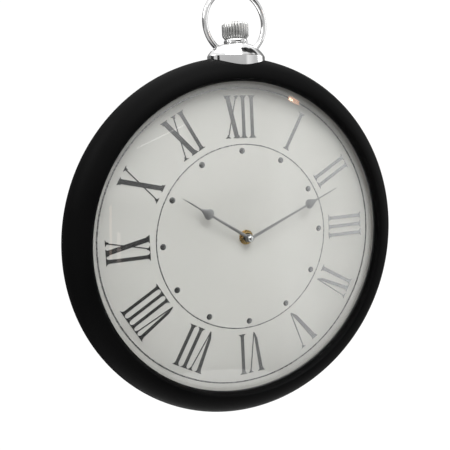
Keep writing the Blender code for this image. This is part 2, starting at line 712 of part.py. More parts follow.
def make_hands():
    """Both hands and the cap nut on the minute arbor."""
    hour = [SHAFT_START] + spade(*HOUR_SPADE) + [HOUR_TIP]
    make_hand("hour_hand", HOUR_ANGLE, hour, HOUR_HUB, PIPE_RADIUS + GAP, HOUR_DEPTHS, HOUR_COLLAR_BACK)
    minute = [SHAFT_START] + spade(*MINUTE_SPADE) + [MINUTE_TIP]
    bore = ARBOR_RADIUS + GAP
    make_hand("minute_hand", MINUTE_ANGLE, minute, MINUTE_HUB, bore, MINUTE_DEPTHS, MINUTE_COLLAR_BACK)
    low = MINUTE_DEPTHS[1] + GAP
    middle = low + CAP_HEIGHT / 2
    cap = [(0, low + CAP_HEIGHT), (0.6 * CAP_RADIUS, low + 0.92 * CAP_HEIGHT), (0.9 * CAP_RADIUS, middle),
           (CAP_RADIUS, low), (bore, low), (bore, middle), (0, middle)]
    turned("hand_cap_nut", cap, STEEL)


def make_stem_fixings():
    """The washers and the nut that clamp the movement to the dial."""
    bore = STEM_RADIUS + GAP
    outer, back = STEM_GASKET
    ring("movement_gasket", bore, outer, (back, DIAL_BACK - GAP), BLACK_RUBBER)
    outer, front = DIAL_WASHER
    ring("dial_washer", bore, outer, (DIAL_FRONT + GAP, front), BRASS, 24)
    plate("stem_nut", [circle(STEM_NUT, 6), circle(bore)], STEM_NUT_DEPTHS, BRASS)


# ---------------------------------------------------------------- gears

def gear_outline(gear, phase):
    """Straight-sided teeth around a gear, one of them in the direction of the phase, in degrees."""
    teeth, module = gear
    pitch = math.tau / teeth
    root = teeth * module / 2 - DEDENDUM * module
    tip = teeth * module / 2 + ADDENDUM * module
    points = []
    for tooth in range(teeth):
        middle = math.radians(phase) + tooth * pitch
        corners = ((root, -TOOTH_ROOT), (tip, -TOOTH_TIP), (tip, TOOTH_TIP), (root, TOOTH_ROOT))
        for radius, share in corners:
            angle = middle + share * pitch / 2
            points.append((radius * math.cos(angle), radius * math.sin(angle)))
    return points


def centre_distance(gear, other):
    """Between the arbors of two gears that mesh."""
    return (gear[0] * gear[1] + other[0] * other[1]) / 2


def mesh_phase(gear, other, other_phase, direction):
    """The phase of a gear that lies in a direction from another one, so that its gaps take those teeth."""
    past_tooth = ((direction - other_phase) / (360 / other[0])) % 1
    return direction + 180 - (0.5 - past_tooth) * 360 / gear[0]


def gear_blank(name, gear, phase, depths, material, place):
    """A toothed disc."""
    return plate(name, [gear_outline(gear, phase)], depths, material, FACE, (*place, 0))


def make_arbor(name, place, wheel, wheel_phase, wheel_depths, pinion, pinion_phase, pinion_depths, pivots):
    """A wheel with its pinion and its arbor, moulded in one."""
    body = gear_blank(name, wheel, wheel_phase, wheel_depths, WHITE_PLASTIC, place)
    join(body, gear_blank(f"{name}_pinion", pinion, pinion_phase, pinion_depths, None, place))
    join(body, rod(f"{name}_arbor", PIVOT_RADIUS, (*place, pivots[0]), (*place, pivots[1]), None, 8))


def make_going_train():
    """Rotor to centre wheel: each pinion drives the next wheel."""
    third_place = polar(centre_distance(FOURTH_PINION, THIRD_WHEEL), THIRD_DIRECTION)
    fifth_place = polar(centre_distance(FIFTH_PINION, FOURTH_WHEEL), FIFTH_DIRECTION)
    rotor_place = polar(centre_distance(ROTOR_PINION, FIFTH_WHEEL), FIFTH_DIRECTION, fifth_place)
    centre_phase = mesh_phase(CENTRE_WHEEL, THIRD_PINION, 0, THIRD_DIRECTION + 180)
    fourth_pinion_phase = mesh_phase(FOURTH_PINION, THIRD_WHEEL, 0, THIRD_DIRECTION + 180)
    fourth_phase = mesh_phase(FOURTH_WHEEL, FIFTH_PINION, 0, FIFTH_DIRECTION + 180)
    rotor_phase = mesh_phase(ROTOR_PINION, FIFTH_WHEEL, 0, FIFTH_DIRECTION)
    make_arbor("third_wheel", third_place, THIRD_WHEEL, 0, THIRD_WHEEL_DEPTHS, THIRD_PINION, 0,
               THIRD_PINION_DEPTHS, (PIVOT_BACK, PIVOT_FRONT))
    make_arbor("fourth_wheel", (0, 0), FOURTH_WHEEL, fourth_phase, FOURTH_WHEEL_DEPTHS, FOURTH_PINION,
               fourth_pinion_phase, FOURTH_PINION_DEPTHS, (PIVOT_BACK, FOURTH_PINION_DEPTHS[1]))
    make_arbor("fifth_wheel", fifth_place, FIFTH_WHEEL, 0, FIFTH_WHEEL_DEPTHS, FIFTH_PINION, 0,
               FIFTH_PINION_DEPTHS, (PIVOT_BACK, FIFTH_PIVOT))
    outlines = [gear_outline(CENTRE_WHEEL, centre_phase), circle(CENTRE_WHEEL_HOLE, BOSS_STEPS)]
    plate("centre_wheel", outlines, CENTRE_WHEEL_DEPTHS, WHITE_PLASTIC)
    low, high = MAGNET_DEPTHS
    rotor = rod("rotor", MAGNET_RADIUS, (*rotor_place, low), (*rotor_place, high), STEEL, SMALL_STEPS)
    join(rotor, gear_blank("rotor_pinion", ROTOR_PINION, rotor_phase, ROTOR_PINION_DEPTHS, None, rotor_place))
    pivots = ((*rotor_place, PIVOT_BACK), (*rotor_place, ROTOR_PIVOT))
    join(rotor, rod("rotor_arbor", PIVOT_RADIUS, *pivots, None, 8))
    return rotor_place


def make_motion_work():
    """Cannon pinion, minute wheel, hour wheel and the setting knob."""
    minute_place = polar(centre_distance(CANNON_PINION, MINUTE_WHEEL), MINUTE_DIRECTION)
    setting_place = polar(centre_distance(MINUTE_WHEEL, SETTING_PINION), SETTING_DIRECTION, minute_place)
    cannon_phase = mesh_phase(CANNON_PINION, MINUTE_WHEEL, 0, MINUTE_DIRECTION + 180)
    hour_phase = mesh_phase(HOUR_WHEEL, MINUTE_PINION, 0, MINUTE_DIRECTION + 180)
    setting_phase = mesh_phase(SETTING_PINION, MINUTE_WHEEL, 0, SETTING_DIRECTION)
    make_arbor("minute_wheel", minute_place, MINUTE_WHEEL, 0, MINUTE_WHEEL_DEPTHS, MINUTE_PINION, 0,
               (MINUTE_PINION_BACK, PIVOT_FRONT), (MINUTE_PIVOT, PIVOT_FRONT))
    low, high = CANNON_DEPTHS
    start = high - GAP
    arbor = rod("centre_arbor", ARBOR_RADIUS, (0, 0, start), (0, 0, ARBOR_FRONT), STEEL, SMALL_STEPS)
    join(arbor, gear_blank("cannon", CANNON_PINION, cannon_phase, CANNON_DEPTHS, None, (0, 0)))
    radius, tail = ARBOR_TAIL
    join(arbor, rod("arbor_tail", radius, (0, 0, tail), (0, 0, low + WELD), None))
    low, high = HOUR_WHEEL_DEPTHS
    hour = gear_blank("hour_wheel", HOUR_WHEEL, hour_phase, HOUR_WHEEL_DEPTHS, WHITE_PLASTIC, (0, 0))
    pipe = rod("hour_pipe", PIPE_RADIUS, (0, 0, (low + high) / 2), (0, 0, PIPE_FRONT), None, SMALL_STEPS)
    join(hour, pipe)
    ends = ((0, 0, low - GAP), (0, 0, PIPE_FRONT + GAP))
    cut(hour, rod("hour_bore", ARBOR_RADIUS + GAP, *ends, None, SMALL_STEPS))
    back, shoulder, front = KNOB_DEPTHS
    knob = [(0, front), (KNOB_SHAFT, front), (KNOB_SHAFT, shoulder), (KNOB_RADIUS, shoulder),
            (KNOB_RADIUS, back + 0.0005), (KNOB_RADIUS - 0.0005, back), (0, back)]
    setting = turned("setting_knob", knob, WHITE_PLASTIC, 24, location=(*setting_place, 0))
    pinion = gear_blank("setting_pinion", SETTING_PINION, setting_phase, SETTING_PINION_DEPTHS, None,
                        setting_place)
    join(setting, pinion)
    return setting_place


# ---------------------------------------------------------------- movement

def make_movement_case(setting_place):
    """The front housing with gear bay, battery bay and hollow stem, and the cover over the gears."""
    half = CASE_HALF_WIDTH
    inside = half - CASE_WALL
    floor = CASE_FRONT - CASE_WALL
    behind = CASE_BACK - CASE_WALL
    housing = box("movement_housing", (-half, CASE_BOTTOM, CASE_BACK), (half, CASE_TOP, CASE_FRONT),
                  DARK_PLASTIC)
    join(housing, rod("stem", STEM_RADIUS, (0, 0, floor + GAP), (0, 0, STEM_FRONT), None, SMALL_STEPS))
    cut(housing, box("gear_bay", (-inside, BAY_DIVIDER, behind), (inside, CASE_TOP - CASE_WALL, floor), None))
    battery_bay = box("battery_bay", (-inside, CASE_BOTTOM + CASE_WALL, behind),
                      (inside, BAY_DIVIDER - CASE_WALL, floor), None)
    cut(housing, battery_bay)
    ends = ((0, 0, floor - GAP), (0, 0, STEM_FRONT + GAP))
    cut(housing, rod("stem_bore", PIPE_RADIUS + GAP, *ends, None, SMALL_STEPS))
    cover = rectangle((-half, BAY_DIVIDER - CASE_WALL), (half, CASE_TOP))
    shaft_hole = circle(KNOB_SHAFT + 0.0005, BOSS_STEPS, setting_place)
    plate("movement_back_cover", [cover, shaft_hole], (MOVEMENT_COVER_BACK, CASE_BACK - GAP), DARK_PLASTIC)


def make_motor(rotor_place):
    """Stator, coil core, bobbin and winding."""
    left, right = STATOR_SIDES
    bottom, band, top = STATOR_HEIGHTS
    outline = [(left, bottom), (right, bottom), (right, top), (right - STATOR_LEG, top),
               (right - STATOR_LEG, band), (left + STATOR_LEG, band), (left + STATOR_LEG, top), (left, top)]
    rotor_hole = circle(MAGNET_RADIUS + 0.0004, SMALL_STEPS, rotor_place)
    plate("stator", [outline, rotor_hole], STATOR_DEPTHS, STEEL)
    back, front = CORE_DEPTHS
    half = CORE_WIDTH / 2
    box("coil_core", (left, COIL_HEIGHT - half, back), (right, COIL_HEIGHT + half, front), STEEL)
    start, end = COIL_ENDS
    flange, thick = BOBBIN_FLANGE
    waist = BOBBIN_WAIST
    place = (0, COIL_HEIGHT, (back + front) / 2)
    spool = [(0, end), (flange, end), (flange, end - thick), (waist, end - thick), (waist, start + thick),
             (flange, start + thick), (flange, start), (0, start)]
    bobbin = turned("coil_bobbin", spool, WHITE_PLASTIC, location=place)
    ends = (start + thick + GAP, end - thick - GAP)
    winding = ring("coil_winding", waist + GAP, COIL_RADIUS, ends, COPPER, location=place)
    for piece in (bobbin, winding):
        piece.rotation_euler = (0, math.radians(90), 0)
    slot = box("bobbin_slot", (start - thick, COIL_HEIGHT - half - GAP, back - GAP),
               (end + thick, COIL_HEIGHT + half + GAP, front + GAP), None)
    cut(bobbin, slot)


def make_electronics():
    """Circuit board and the quartz crystal's can."""
    low, high = BOARD_CORNERS
    box("circuit_board", low, high, BOARD)
    start, end = CRYSTAL_ENDS
    rod("quartz_crystal", CRYSTAL_RADIUS, start, end, STEEL)


def make_battery():
    """The AA cell and its two contacts."""
    tail, shoulder = BATTERY_ENDS
    button, tip = BATTERY_BUTTON
    chamfer = 0.0008
    profile = [(0, tip), (button, tip), (button, shoulder), (BATTERY_RADIUS - chamfer, shoulder),
               (BATTERY_RADIUS, shoulder - chamfer), (BATTERY_RADIUS, tail), (0, tail)]
    cell = turned("battery_cell", profile, BATTERY_SKIN, 24, location=(0, BATTERY_HEIGHT, BATTERY_DEPTH))
    cell.rotation_euler = (0, math.radians(90), 0)
    wall = CASE_HALF_WIDTH - CASE_WALL
    width, height, depth = CONTACT_HALF
    middle = wall - CONTACT_GAP - width
    box("positive_contact", (middle - width, BATTERY_HEIGHT - height, BATTERY_DEPTH - depth),
        (middle + width, BATTERY_HEIGHT + height, BATTERY_DEPTH + depth), STEEL)
    wide, narrow = SPRING_RADII
    first, last = SPRING_ENDS
    count = SPRING_TURNS * 10
    points = []
    for i in range(count + 1):
        share = i / count
        angle = math.tau * SPRING_TURNS * share
        radius = wide + (narrow - wide) * share
        points.append((first + (last - first) * share, BATTERY_HEIGHT + radius * math.cos(angle),
                       BATTERY_DEPTH + radius * math.sin(angle)))
    wire("negative_spring", points, SPRING_WIRE, STEEL)


make_case()
make_glass()
make_dial()
make_back_cover()
make_hanger()
make_pendant_base()
make_crown()
make_pendant_fixings()
make_bow()
make_hands()
make_stem_fixings()
MOTOR_PLACE = make_going_train()
KNOB_PLACE = make_motion_work()
make_movement_case(KNOB_PLACE)
make_motor(MOTOR_PLACE)
make_electronics()
make_battery()
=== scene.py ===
"""Looks of the pocket-watch wall clock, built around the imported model.

Shapes are drawn in the face frame, as a person in front of the clock sees it: x right, y up and z out
of the wall, so a depth is a distance from the wall. Pendant shapes use the world's own axes.
"""
import json
import math

import bmesh
import bpy
from mathutils import Matrix, Vector


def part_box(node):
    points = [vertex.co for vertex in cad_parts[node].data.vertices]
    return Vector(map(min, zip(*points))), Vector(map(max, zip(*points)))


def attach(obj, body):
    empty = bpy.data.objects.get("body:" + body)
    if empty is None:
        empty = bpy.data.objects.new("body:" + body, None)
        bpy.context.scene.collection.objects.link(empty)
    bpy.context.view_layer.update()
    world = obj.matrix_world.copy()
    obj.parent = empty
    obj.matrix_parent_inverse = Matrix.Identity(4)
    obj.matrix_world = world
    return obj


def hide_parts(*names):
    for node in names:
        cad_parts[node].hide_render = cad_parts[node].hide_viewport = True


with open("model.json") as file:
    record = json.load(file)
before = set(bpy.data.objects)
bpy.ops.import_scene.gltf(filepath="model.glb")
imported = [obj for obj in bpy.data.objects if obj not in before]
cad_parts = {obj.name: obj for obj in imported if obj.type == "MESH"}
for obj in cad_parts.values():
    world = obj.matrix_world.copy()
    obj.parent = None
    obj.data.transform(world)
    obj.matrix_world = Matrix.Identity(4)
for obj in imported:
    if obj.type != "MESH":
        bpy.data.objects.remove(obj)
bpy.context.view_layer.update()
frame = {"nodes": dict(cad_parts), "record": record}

FACE = Matrix.Rotation(math.radians(90), 4, "X")        # face frame to world
CLOCK = "clock_body"
RING_STEPS = 240                # of the large turned rings
FINE_STEPS = 72                 # of middling turned pieces
SMALL_STEPS = 36                # of small ones


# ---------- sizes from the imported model

def radius_of(node):
    """Half the width of a node that is round about the dial's axis."""
    low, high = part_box(node)
    return (high[0] - low[0]) / 2


def depths_of(node):
    """A node's nearest and furthest distance from the wall."""
    low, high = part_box(node)
    return -high[1], -low[1]


def middle_of(node):
    """The middle of a node's box."""
    low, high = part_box(node)
    return Vector([(a + b) / 2 for a, b in zip(low, high)])


JOINTS = {joint["name"]: joint for joint in frame["record"]["behaviour"]["joints"]}
RIM_OUTER = radius_of("case_rim")
RIM_FRONT = depths_of("case_rim")[1]
RIM_SECTION = 0.0218            # radius of the rim's half-round section
RIM_WALL = 0.0026               # thickness of the rim's shell
RIM_RING = RIM_OUTER - RIM_SECTION
RIM_DEPTH = RIM_FRONT - RIM_SECTION
LIP_RADIUS = 0.1551             # where the rim's rolled lip ends, at the glass
LIP_DEPTH = 0.0385
GLASS_OUTER = radius_of("glass_dome")
GLASS_BACK, GLASS_APEX = depths_of("glass_dome")
GLASS_THICK = 0.0020
DIAL_BACK, DIAL_FRONT = depths_of("dial_plate")
DIAL_OUTER = radius_of("dial_plate")
COVER_BACK, COVER_FRONT = depths_of("back_cover")
PENDANT_Y = JOINTS["bow_hinge"]["pos_m"][1]
HINGE_Z = JOINTS["bow_hinge"]["pos_m"][2]

RIVETS = ("hanger_rivet_left", "hanger_rivet_right")

HOUR_ANGLE = -56.4              # clockwise from twelve, in degrees
MINUTE_ANGLE = 67.5
NUMERAL_BASE = 0.1000           # radius of the numerals' feet
NUMERAL_HEIGHT = 0.0420
INNER_RING = 0.0937
OUTER_RING = 0.1497
DOT_RING = 0.0873
DIAL_HOLE = 0.0044              # radii of the holes in the dial, and in the washer and nut on the stem
STEM_HOLE = 0.0043
SCREW_HOLE = 0.0019             # radii of the holes in the back cover
RIVET_HOLE = 0.0020
STUD_HOLE = 0.0034              # radius of the hole through the pendant
BOW_WIRE = 0.00275              # radii of the bow's wire and of the balls at its ends
BOW_BALL = 0.0030
BOW_SEAT = 0.0034               # radius of the seats for those balls
PRINT_BACK = DIAL_FRONT - 0.00005        # the dial's marks start just inside its paint
FOIL_THICK = 0.00030
LAYER = 0.00001                 # step between crossing strokes of a numeral
WEIGHT = {"V": 1.28, "VIII": 0.88}     # how heavy some numerals' strokes are, against the others
SPREAD = {"V": 1.50, "VI": 1.20, "VIII": 0.86, "X": 1.22, "XI": 1.10}    # of some numerals' letters


# ---------- shapes

def arc(centre, radius, first, last, count):
    """Points of an arc from one angle to another, in degrees, both ends included."""
    points = []
    for i in range(count + 1):
        angle = math.radians(first + (last - first) * i / count)
        points.append((centre[0] + radius * math.cos(angle), centre[1] + radius * math.sin(angle)))
    return points


def circle(radius, count=FINE_STEPS, centre=(0, 0)):
    """A closed circle of points, without its first point repeated."""
    return arc(centre, radius, 0, 360, count)[:-1]


def rounded(outline, radius, count=3, closed=True):
    """An outline with its corners rounded off; a corner near another one gets a smaller radius."""
    points = [Vector(point) for point in outline]
    size = len(points)
    result = []
    for i, corner in enumerate(points):
        if not closed and i in (0, size - 1):
            result.append(tuple(corner))
            continue
        before = points[i - 1] - corner
        after = points[(i + 1) % size] - corner
        reach = min(radius, before.length * 0.45, after.length * 0.45)
        start = corner + before.normalized() * reach
        end = corner + after.normalized() * reach
        for j in range(count + 1):
            share = j / count
            point = start.lerp(corner, share).lerp(corner.lerp(end, share), share)
            result.append(tuple(point))
    return result


def through(points, steps):
    """A smooth curve through points, with some steps between each two."""
    known = [Vector(point) for point in points]
    known = [2 * known[0] - known[1]] + known + [2 * known[-1] - known[-2]]
    result = []
    for before, start, end, after in zip(known, known[1:], known[2:], known[3:]):
        for i in range(steps):
            t = i / steps
            point = (2 * start + (end - before) * t + (2 * before - 5 * start + 4 * end - after) * t ** 2
                     + (3 * start - before - 3 * end + after) * t ** 3) / 2
            result.append(tuple(point))
    result.append(tuple(points[-1]))
    return result


def new_object(name, data):
    """A scene object for a mesh, a curve, a lamp or a camera."""
    made = bpy.data.objects.new(name, data)
    bpy.context.scene.collection.objects.link(made)
    return made


def solid(name, shape, place=None):
    """A scene object from a bmesh, facing out, and moved by a matrix."""
    bmesh.ops.recalc_face_normals(shape, faces=shape.faces)
    mesh = bpy.data.meshes.new(name)
    shape.to_mesh(mesh)
    shape.free()
    if place is not None:
        mesh.transform(place)
    return new_object(name, mesh)


def skin(name, rows, closed=False, place=None):
    """A surface over rows of points. A row of one point is a pole; closed ties the last row to the first."""
    shape = bmesh.new()
    rings = [[shape.verts.new(point) for point in row] for row in rows]
    pairs = list(zip(rings, rings[1:]))
    if closed:
        pairs.append((rings[-1], rings[0]))
    for lower, upper in pairs:
        count = max(len(lower), len(upper))
        for i in range(count):
            j = (i + 1) % count
            corners = [lower[i % len(lower)], lower[j % len(lower)]]
            corners += [upper[j % len(upper)], upper[i % len(upper)]]
            shape.faces.new(list(dict.fromkeys(corners)))
    return solid(name, shape, place)


def lathe(name, profile, steps=SMALL_STEPS, place=FACE):
    """A profile of (radius, height) turned about z. One that starts and ends on the axis is open."""
    rows = []
    for radius, height in profile:
        if radius < 1e-7:
            rows.append([(0, 0, height)])
        else:
            rows.append([(x, y, height) for x, y in circle(radius, steps)])
    return skin(name, rows, profile[0][0] >= 1e-7, place)


def at(x, y):
    """A place on the face, as a matrix that puts a shape there."""
    return FACE @ Matrix.Translation((x, y, 0))


def evaluated(piece):
    """The mesh that a piece's modifiers or its curve make."""
    depsgraph = bpy.context.evaluated_depsgraph_get()
    return bpy.data.meshes.new_from_object(piece.evaluated_get(depsgraph))


def bake(piece):
    """Turn a piece's modifiers into plain mesh."""
    mesh = evaluated(piece)
    piece.modifiers.clear()
    piece.data = mesh


def bevel(piece, width, angle=30):
    """Round a piece's sharp edges."""
    modifier = piece.modifiers.new("bevel", "BEVEL")
    modifier.width = width
    modifier.segments = 2
    modifier.limit_method = "ANGLE"
    modifier.angle_limit = math.radians(angle)
    modifier.use_clamp_overlap = True
    bake(piece)


def cut(piece, tool):
    """Cut a tool away from a piece, and drop the tool."""
    modifier = piece.modifiers.new("cut", "BOOLEAN")
    modifier.operation = "DIFFERENCE"
    modifier.solver = "EXACT"
    modifier.object = tool
    bake(piece)
    bpy.data.objects.remove(tool)


def cleaned(mesh):
    """A bmesh of a mesh, without doubled points and edges that lie in flat faces."""
    shape = bmesh.new()
    shape.from_mesh(mesh)
    bmesh.ops.remove_doubles(shape, verts=shape.verts, dist=1e-6)
    bmesh.ops.dissolve_limit(shape, angle_limit=math.radians(1), verts=shape.verts, edges=shape.edges)
    return shape


def plate(name, outlines, depths, place=FACE, edge=0.0):
    """Flat outlines, the first the outer one and the rest holes, made thick between two depths."""
    curve = bpy.data.curves.new(name, "CURVE")
    curve.dimensions = "2D"
    curve.fill_mode = "BOTH"
    curve.extrude = (depths[1] - depths[0]) / 2
    for outline in outlines:
        spline = curve.splines.new("POLY")
        spline.points.add(len(outline) - 1)
        for target, point in zip(spline.points, outline):
            target.co = (point[0], point[1], 0, 1)
        spline.use_cyclic_u = True
    holder = new_object(name, curve)
    shape = cleaned(evaluated(holder))
    bpy.data.objects.remove(holder)
    bpy.data.curves.remove(curve)
    piece = solid(name, shape, place @ Matrix.Translation((0, 0, (depths[0] + depths[1]) / 2)))
    if edge:
        bevel(piece, edge)
    return piece


def joined(name, pieces):
    """One piece out of several, which are dropped."""
    shape = bmesh.new()
    for piece in pieces:
        shape.from_mesh(piece.data)
        bpy.data.objects.remove(piece)
    return solid(name, shape)


def rod(name, radius, start, end):
    """A round bar between two points of the world."""
    start = Vector(start)
    end = Vector(end)
    turn = (end - start).to_track_quat("Z", "Y").to_matrix().to_4x4()
    shape = bmesh.new()
    bmesh.ops.create_cone(shape, cap_ends=True, segments=SMALL_STEPS, radius1=radius, radius2=radius,
                          depth=(end - start).length, matrix=Matrix.Translation((start + end) / 2) @ turn)
    return solid(name, shape)


def fluted(sections, flutes, steps, groove, power):
    """Rows of a fluted knob. A section is (radius, share of the groove's depth, height)."""
    depths = [groove * (1 - abs(math.sin(math.pi * i / steps))) ** power for i in range(flutes * steps)]
    rows = []
    for reach, share, height in sections:
        if reach == 0:
            rows.append([(0, 0, height)])
            continue
        around = zip(circle(1.0, flutes * steps), depths)
        rows.append([((reach - share * deep) * x, (reach - share * deep) * y, height)
                     for (x, y), deep in around])
    return rows


def band(inner, outer, low, high):
    """The section of a ring between two radii and two depths."""
    return [(inner, low), (inner, high), (outer, high), (outer, low)]


def show(piece, material, body=CLOCK, node=None):
    """Give a piece its material, its smooth shading and its body, and hide the node it stands for."""
    piece.data.materials.clear()
    piece.data.materials.append(material)
    piece.data.shade_smooth()
    piece.data.set_sharp_from_angle(angle=math.radians(38))
    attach(piece, body)
    if node:
        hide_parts(node)


def turned(name, outline, edge, material, node=None, body=CLOCK, steps=RING_STEPS, place=FACE, count=3):
    """A shown piece, turned from an outline whose corners are rounded by an edge radius."""
    show(lathe(name, rounded(outline, edge, count), steps, place), material, body, node)


# ---------- materials

class Graph:
    """A node tree under construction."""

    def __init__(self, tree):
        self.tree = tree

    def add(self, kind, **settings):
        """A new node with some of its properties or input values set."""
        node = self.tree.nodes.new(kind)
        for key, value in settings.items():
            if key in node.inputs:
                node.inputs[key].default_value = value
            else:
                setattr(node, key, value)
        return node

    def link(self, source, target):
        """Join an output to an input."""
        self.tree.links.new(source, target)

    def ramp(self, value, stops):
        """A colour ramp over a value."""
        node = self.add("ShaderNodeValToRGB")
        elements = node.color_ramp.elements
        for i, (position, colour) in enumerate(stops):
            element = elements[i] if i < 2 else elements.new(position)
            element.position = position
            element.color = (*colour, 1.0)
        self.link(value, node.inputs["Fac"])
        return node.outputs["Color"]

    def between(self, value, low, high, start=0.3, end=0.7):
        """A value stretched from one range to another."""
        node = self.add("ShaderNodeMapRange")
        for key, number in (("From Min", start), ("From Max", end), ("To Min", low), ("To Max", high)):
            node.inputs[key].default_value = number
        self.link(value, node.inputs["Value"])
        return node.outputs["Result"]

    def switch(self, ray, first, second, output):
        """Show one kind of ray the second shader, and the others the first."""
        path = self.add("ShaderNodeLightPath")
        mix = self.add("ShaderNodeMixShader")
        for source, target in zip((path.outputs[ray], first.outputs[0], second.outputs[0]), mix.inputs):
            self.link(source, target)
        self.link(mix.outputs[0], self.tree.nodes[output].inputs["Surface"])


class Nodes(Graph):
    """A material under construction."""

    def __init__(self, name):
        self.material = bpy.data.materials.new(name)
        self.material.use_nodes = True
        super().__init__(self.material.node_tree)
        self.shader = self.tree.nodes["Principled BSDF"]
        self.coordinates = self.add("ShaderNodeTexCoord").outputs["Object"]

    def pattern(self, kind, vector=None, **settings):
        """A node fed by the object's coordinates, or by other ones."""
        node = self.add(kind, **settings)
        self.link(vector or self.coordinates, node.inputs["Vector"])
        return node

    def noise(self, scale, detail=4.0, vector=None):
        """The value of a noise pattern."""
        return self.pattern("ShaderNodeTexNoise", vector, Scale=scale, Detail=detail).outputs["Fac"]

    def mapped(self, **settings):
        """The object's coordinates, turned or stretched."""
        return self.pattern("ShaderNodeMapping", **settings).outputs["Vector"]

    def along(self, axis):
        """One of the object's coordinates."""
        return self.pattern("ShaderNodeSeparateXYZ").outputs[axis]

    def mixed(self, factor, first, second, blend="MIX"):
        """Two colours mixed by a factor. Each of the three is an output or a value."""
        node = self.add("ShaderNodeMix", data_type="RGBA", blend_type=blend)
        for source, target in ((factor, node.inputs[0]), (first, node.inputs[6]), (second, node.inputs[7])):
            if isinstance(source, bpy.types.NodeSocket):
                self.link(source, target)
            else:
                target.default_value = source
        return node.outputs[2]

    def surface(self, colour, gloss, bumps, **fixed):
        """The material: a colour, a roughness, bumps of (value, strength, distance) and fixed values."""
        normal = None
        for value, strength, distance in bumps:
            node = self.add("ShaderNodeBump", Strength=strength, Distance=distance)
            self.link(value, node.inputs["Height"])
            if normal is not None:
                self.link(normal, node.inputs["Normal"])
            normal = node.outputs["Normal"]
        for source, socket in ((colour, "Base Color"), (gloss, "Roughness"), (normal, "Normal")):
            if source is not None:
                self.link(source, self.shader.inputs[socket])
        for key, value in fixed.items():
            self.shader.inputs[key.replace("_", " ")].default_value = value
        return self.material


def grey(value, warmth=0.0):
    """A grey, warmer or cooler."""
    return (value * (1 + warmth), value, value * (1 - warmth))


def dimmed(colour, share):
    """A share of a colour's brightness."""
    return tuple(share * channel for channel in colour)


def soft_touch_material():
    """Matt black coating: fine grain, faint hand marks and pale dust."""
    nodes = Nodes("soft_touch_black")
    marks = nodes.noise(14.0, 6.0)
    grain = nodes.noise(3200.0, 2.0)
    specks = nodes.pattern("ShaderNodeTexVoronoi", Scale=420.0).outputs["Distance"]
    dust = nodes.ramp(specks, ((0.0, grey(1.0)), (0.045, grey(0.0))))
    base = nodes.ramp(marks, ((0.35, (0.0010, 0.0010, 0.0011)), (0.70, (0.0024, 0.0024, 0.0025))))
    colour = nodes.mixed(dust, base, (0.012, 0.012, 0.012, 1.0))
    bumps = ((grain, 0.18, 0.00004), (marks, 0.05, 0.0004))
    return nodes.surface(colour, nodes.between(marks, 0.46, 0.58), bumps, Specular_IOR_Level=0.05)


def plastic_material(name, value, roughness, grain=0.10, warmth=0.0, scale=1500.0):
    """Moulded plastic with a spark-eroded grain and slight cloudiness."""
    nodes = Nodes(name)
    cloud = nodes.noise(60.0, 4.0)
    fine = nodes.noise(scale, 3.0)
    colour = nodes.ramp(cloud, ((0.3, grey(value * 0.86, warmth)), (0.7, grey(value * 1.10, warmth))))
    gloss = nodes.between(fine, roughness - 0.06, roughness + 0.08)
    return nodes.surface(colour, gloss, ((fine, grain, 0.00006), (cloud, 0.05, 0.0003)))


def metal_material(name, colour, rough, streaks=(1.0, 1.0, 1.0), scratch=0.03):
    """Bare or plated metal with fine scratches, and smudges that change its gloss."""
    nodes = Nodes(name)
    smudge = nodes.noise(45.0, 5.0)
    lines = nodes.noise(900.0, 3.0, nodes.mapped(Scale=streaks))
    smudged = nodes.ramp(smudge, ((0.30, dimmed(colour, 0.90)), (0.68, colour)))
    return nodes.surface(smudged, nodes.between(smudge, *rough), ((lines, scratch, 0.00004),), Metallic=1.0)


def turned_material(name, colour, rough):
    """Metal with the fine rings that a lathe leaves around the clock's axis."""
    nodes = Nodes(name)
    rings = nodes.pattern("ShaderNodeTexWave", Scale=900.0, Distortion=0.4, wave_type="RINGS",
                          rings_direction="Y").outputs["Fac"]
    stain = nodes.noise(300.0, 4.0)
    stained = nodes.ramp(stain, ((0.3, dimmed(colour, 0.8)), (0.7, colour)))
    return nodes.surface(stained, nodes.between(stain, *rough), ((rings, 0.12, 0.00003),), Metallic=1.0)


def dial_material():
    """Warm grey satin paint with a fine speckle and a faint cloudiness."""
    nodes = Nodes("dial_paint")
    cloud = nodes.noise(9.0, 5.0)
    speckle = nodes.noise(2600.0, 2.0)
    base = nodes.ramp(cloud, ((0.25, (0.585, 0.576, 0.545)), (0.75, (0.612, 0.603, 0.571))))
    shade = nodes.ramp(speckle, ((0.30, grey(0.93)), (0.60, grey(1.0))))
    colour = nodes.mixed(1.0, base, shade, "MULTIPLY")
    return nodes.surface(colour, nodes.between(speckle, 0.48, 0.62), ((speckle, 0.06, 0.00003),))


def foil_material(name, colour, rough):
    """Hot-stamped mirror foil, slightly wavy, with pinholes and rubbed spots."""
    nodes = Nodes(name)
    wave = nodes.noise(55.0, 3.0)
    rub = nodes.noise(700.0, 5.0)
    rubbed = nodes.ramp(rub, ((0.28, dimmed(colour, 0.72)), (0.50, colour)))
    gloss = nodes.between(rub, rough[1], rough[0])
    return nodes.surface(rubbed, gloss, ((wave, 0.10, 0.0006), (rub, 0.05, 0.00003)), Metallic=1.0)


def spacer_material():
    """Warm grey plastic, coloured near black along its front edge."""
    nodes = Nodes("spacer_grey")
    front_edge = nodes.between(nodes.along("Y"), 1.0, 0.0, -0.0326, -0.0320)
    cloud = nodes.noise(60.0, 4.0)
    plain = nodes.ramp(cloud, ((0.3, grey(0.26, 0.05)), (0.7, grey(0.32, 0.05))))
    # near black from 0.0326 from the wall forward, fading to the plain grey by 0.0320
    colour = nodes.mixed(front_edge, plain, (0.060, 0.061, 0.066, 1.0))
    grain = nodes.noise(1500.0, 3.0)
    return nodes.surface(colour, nodes.between(cloud, 0.36, 0.50), ((grain, 0.06, 0.00006),))


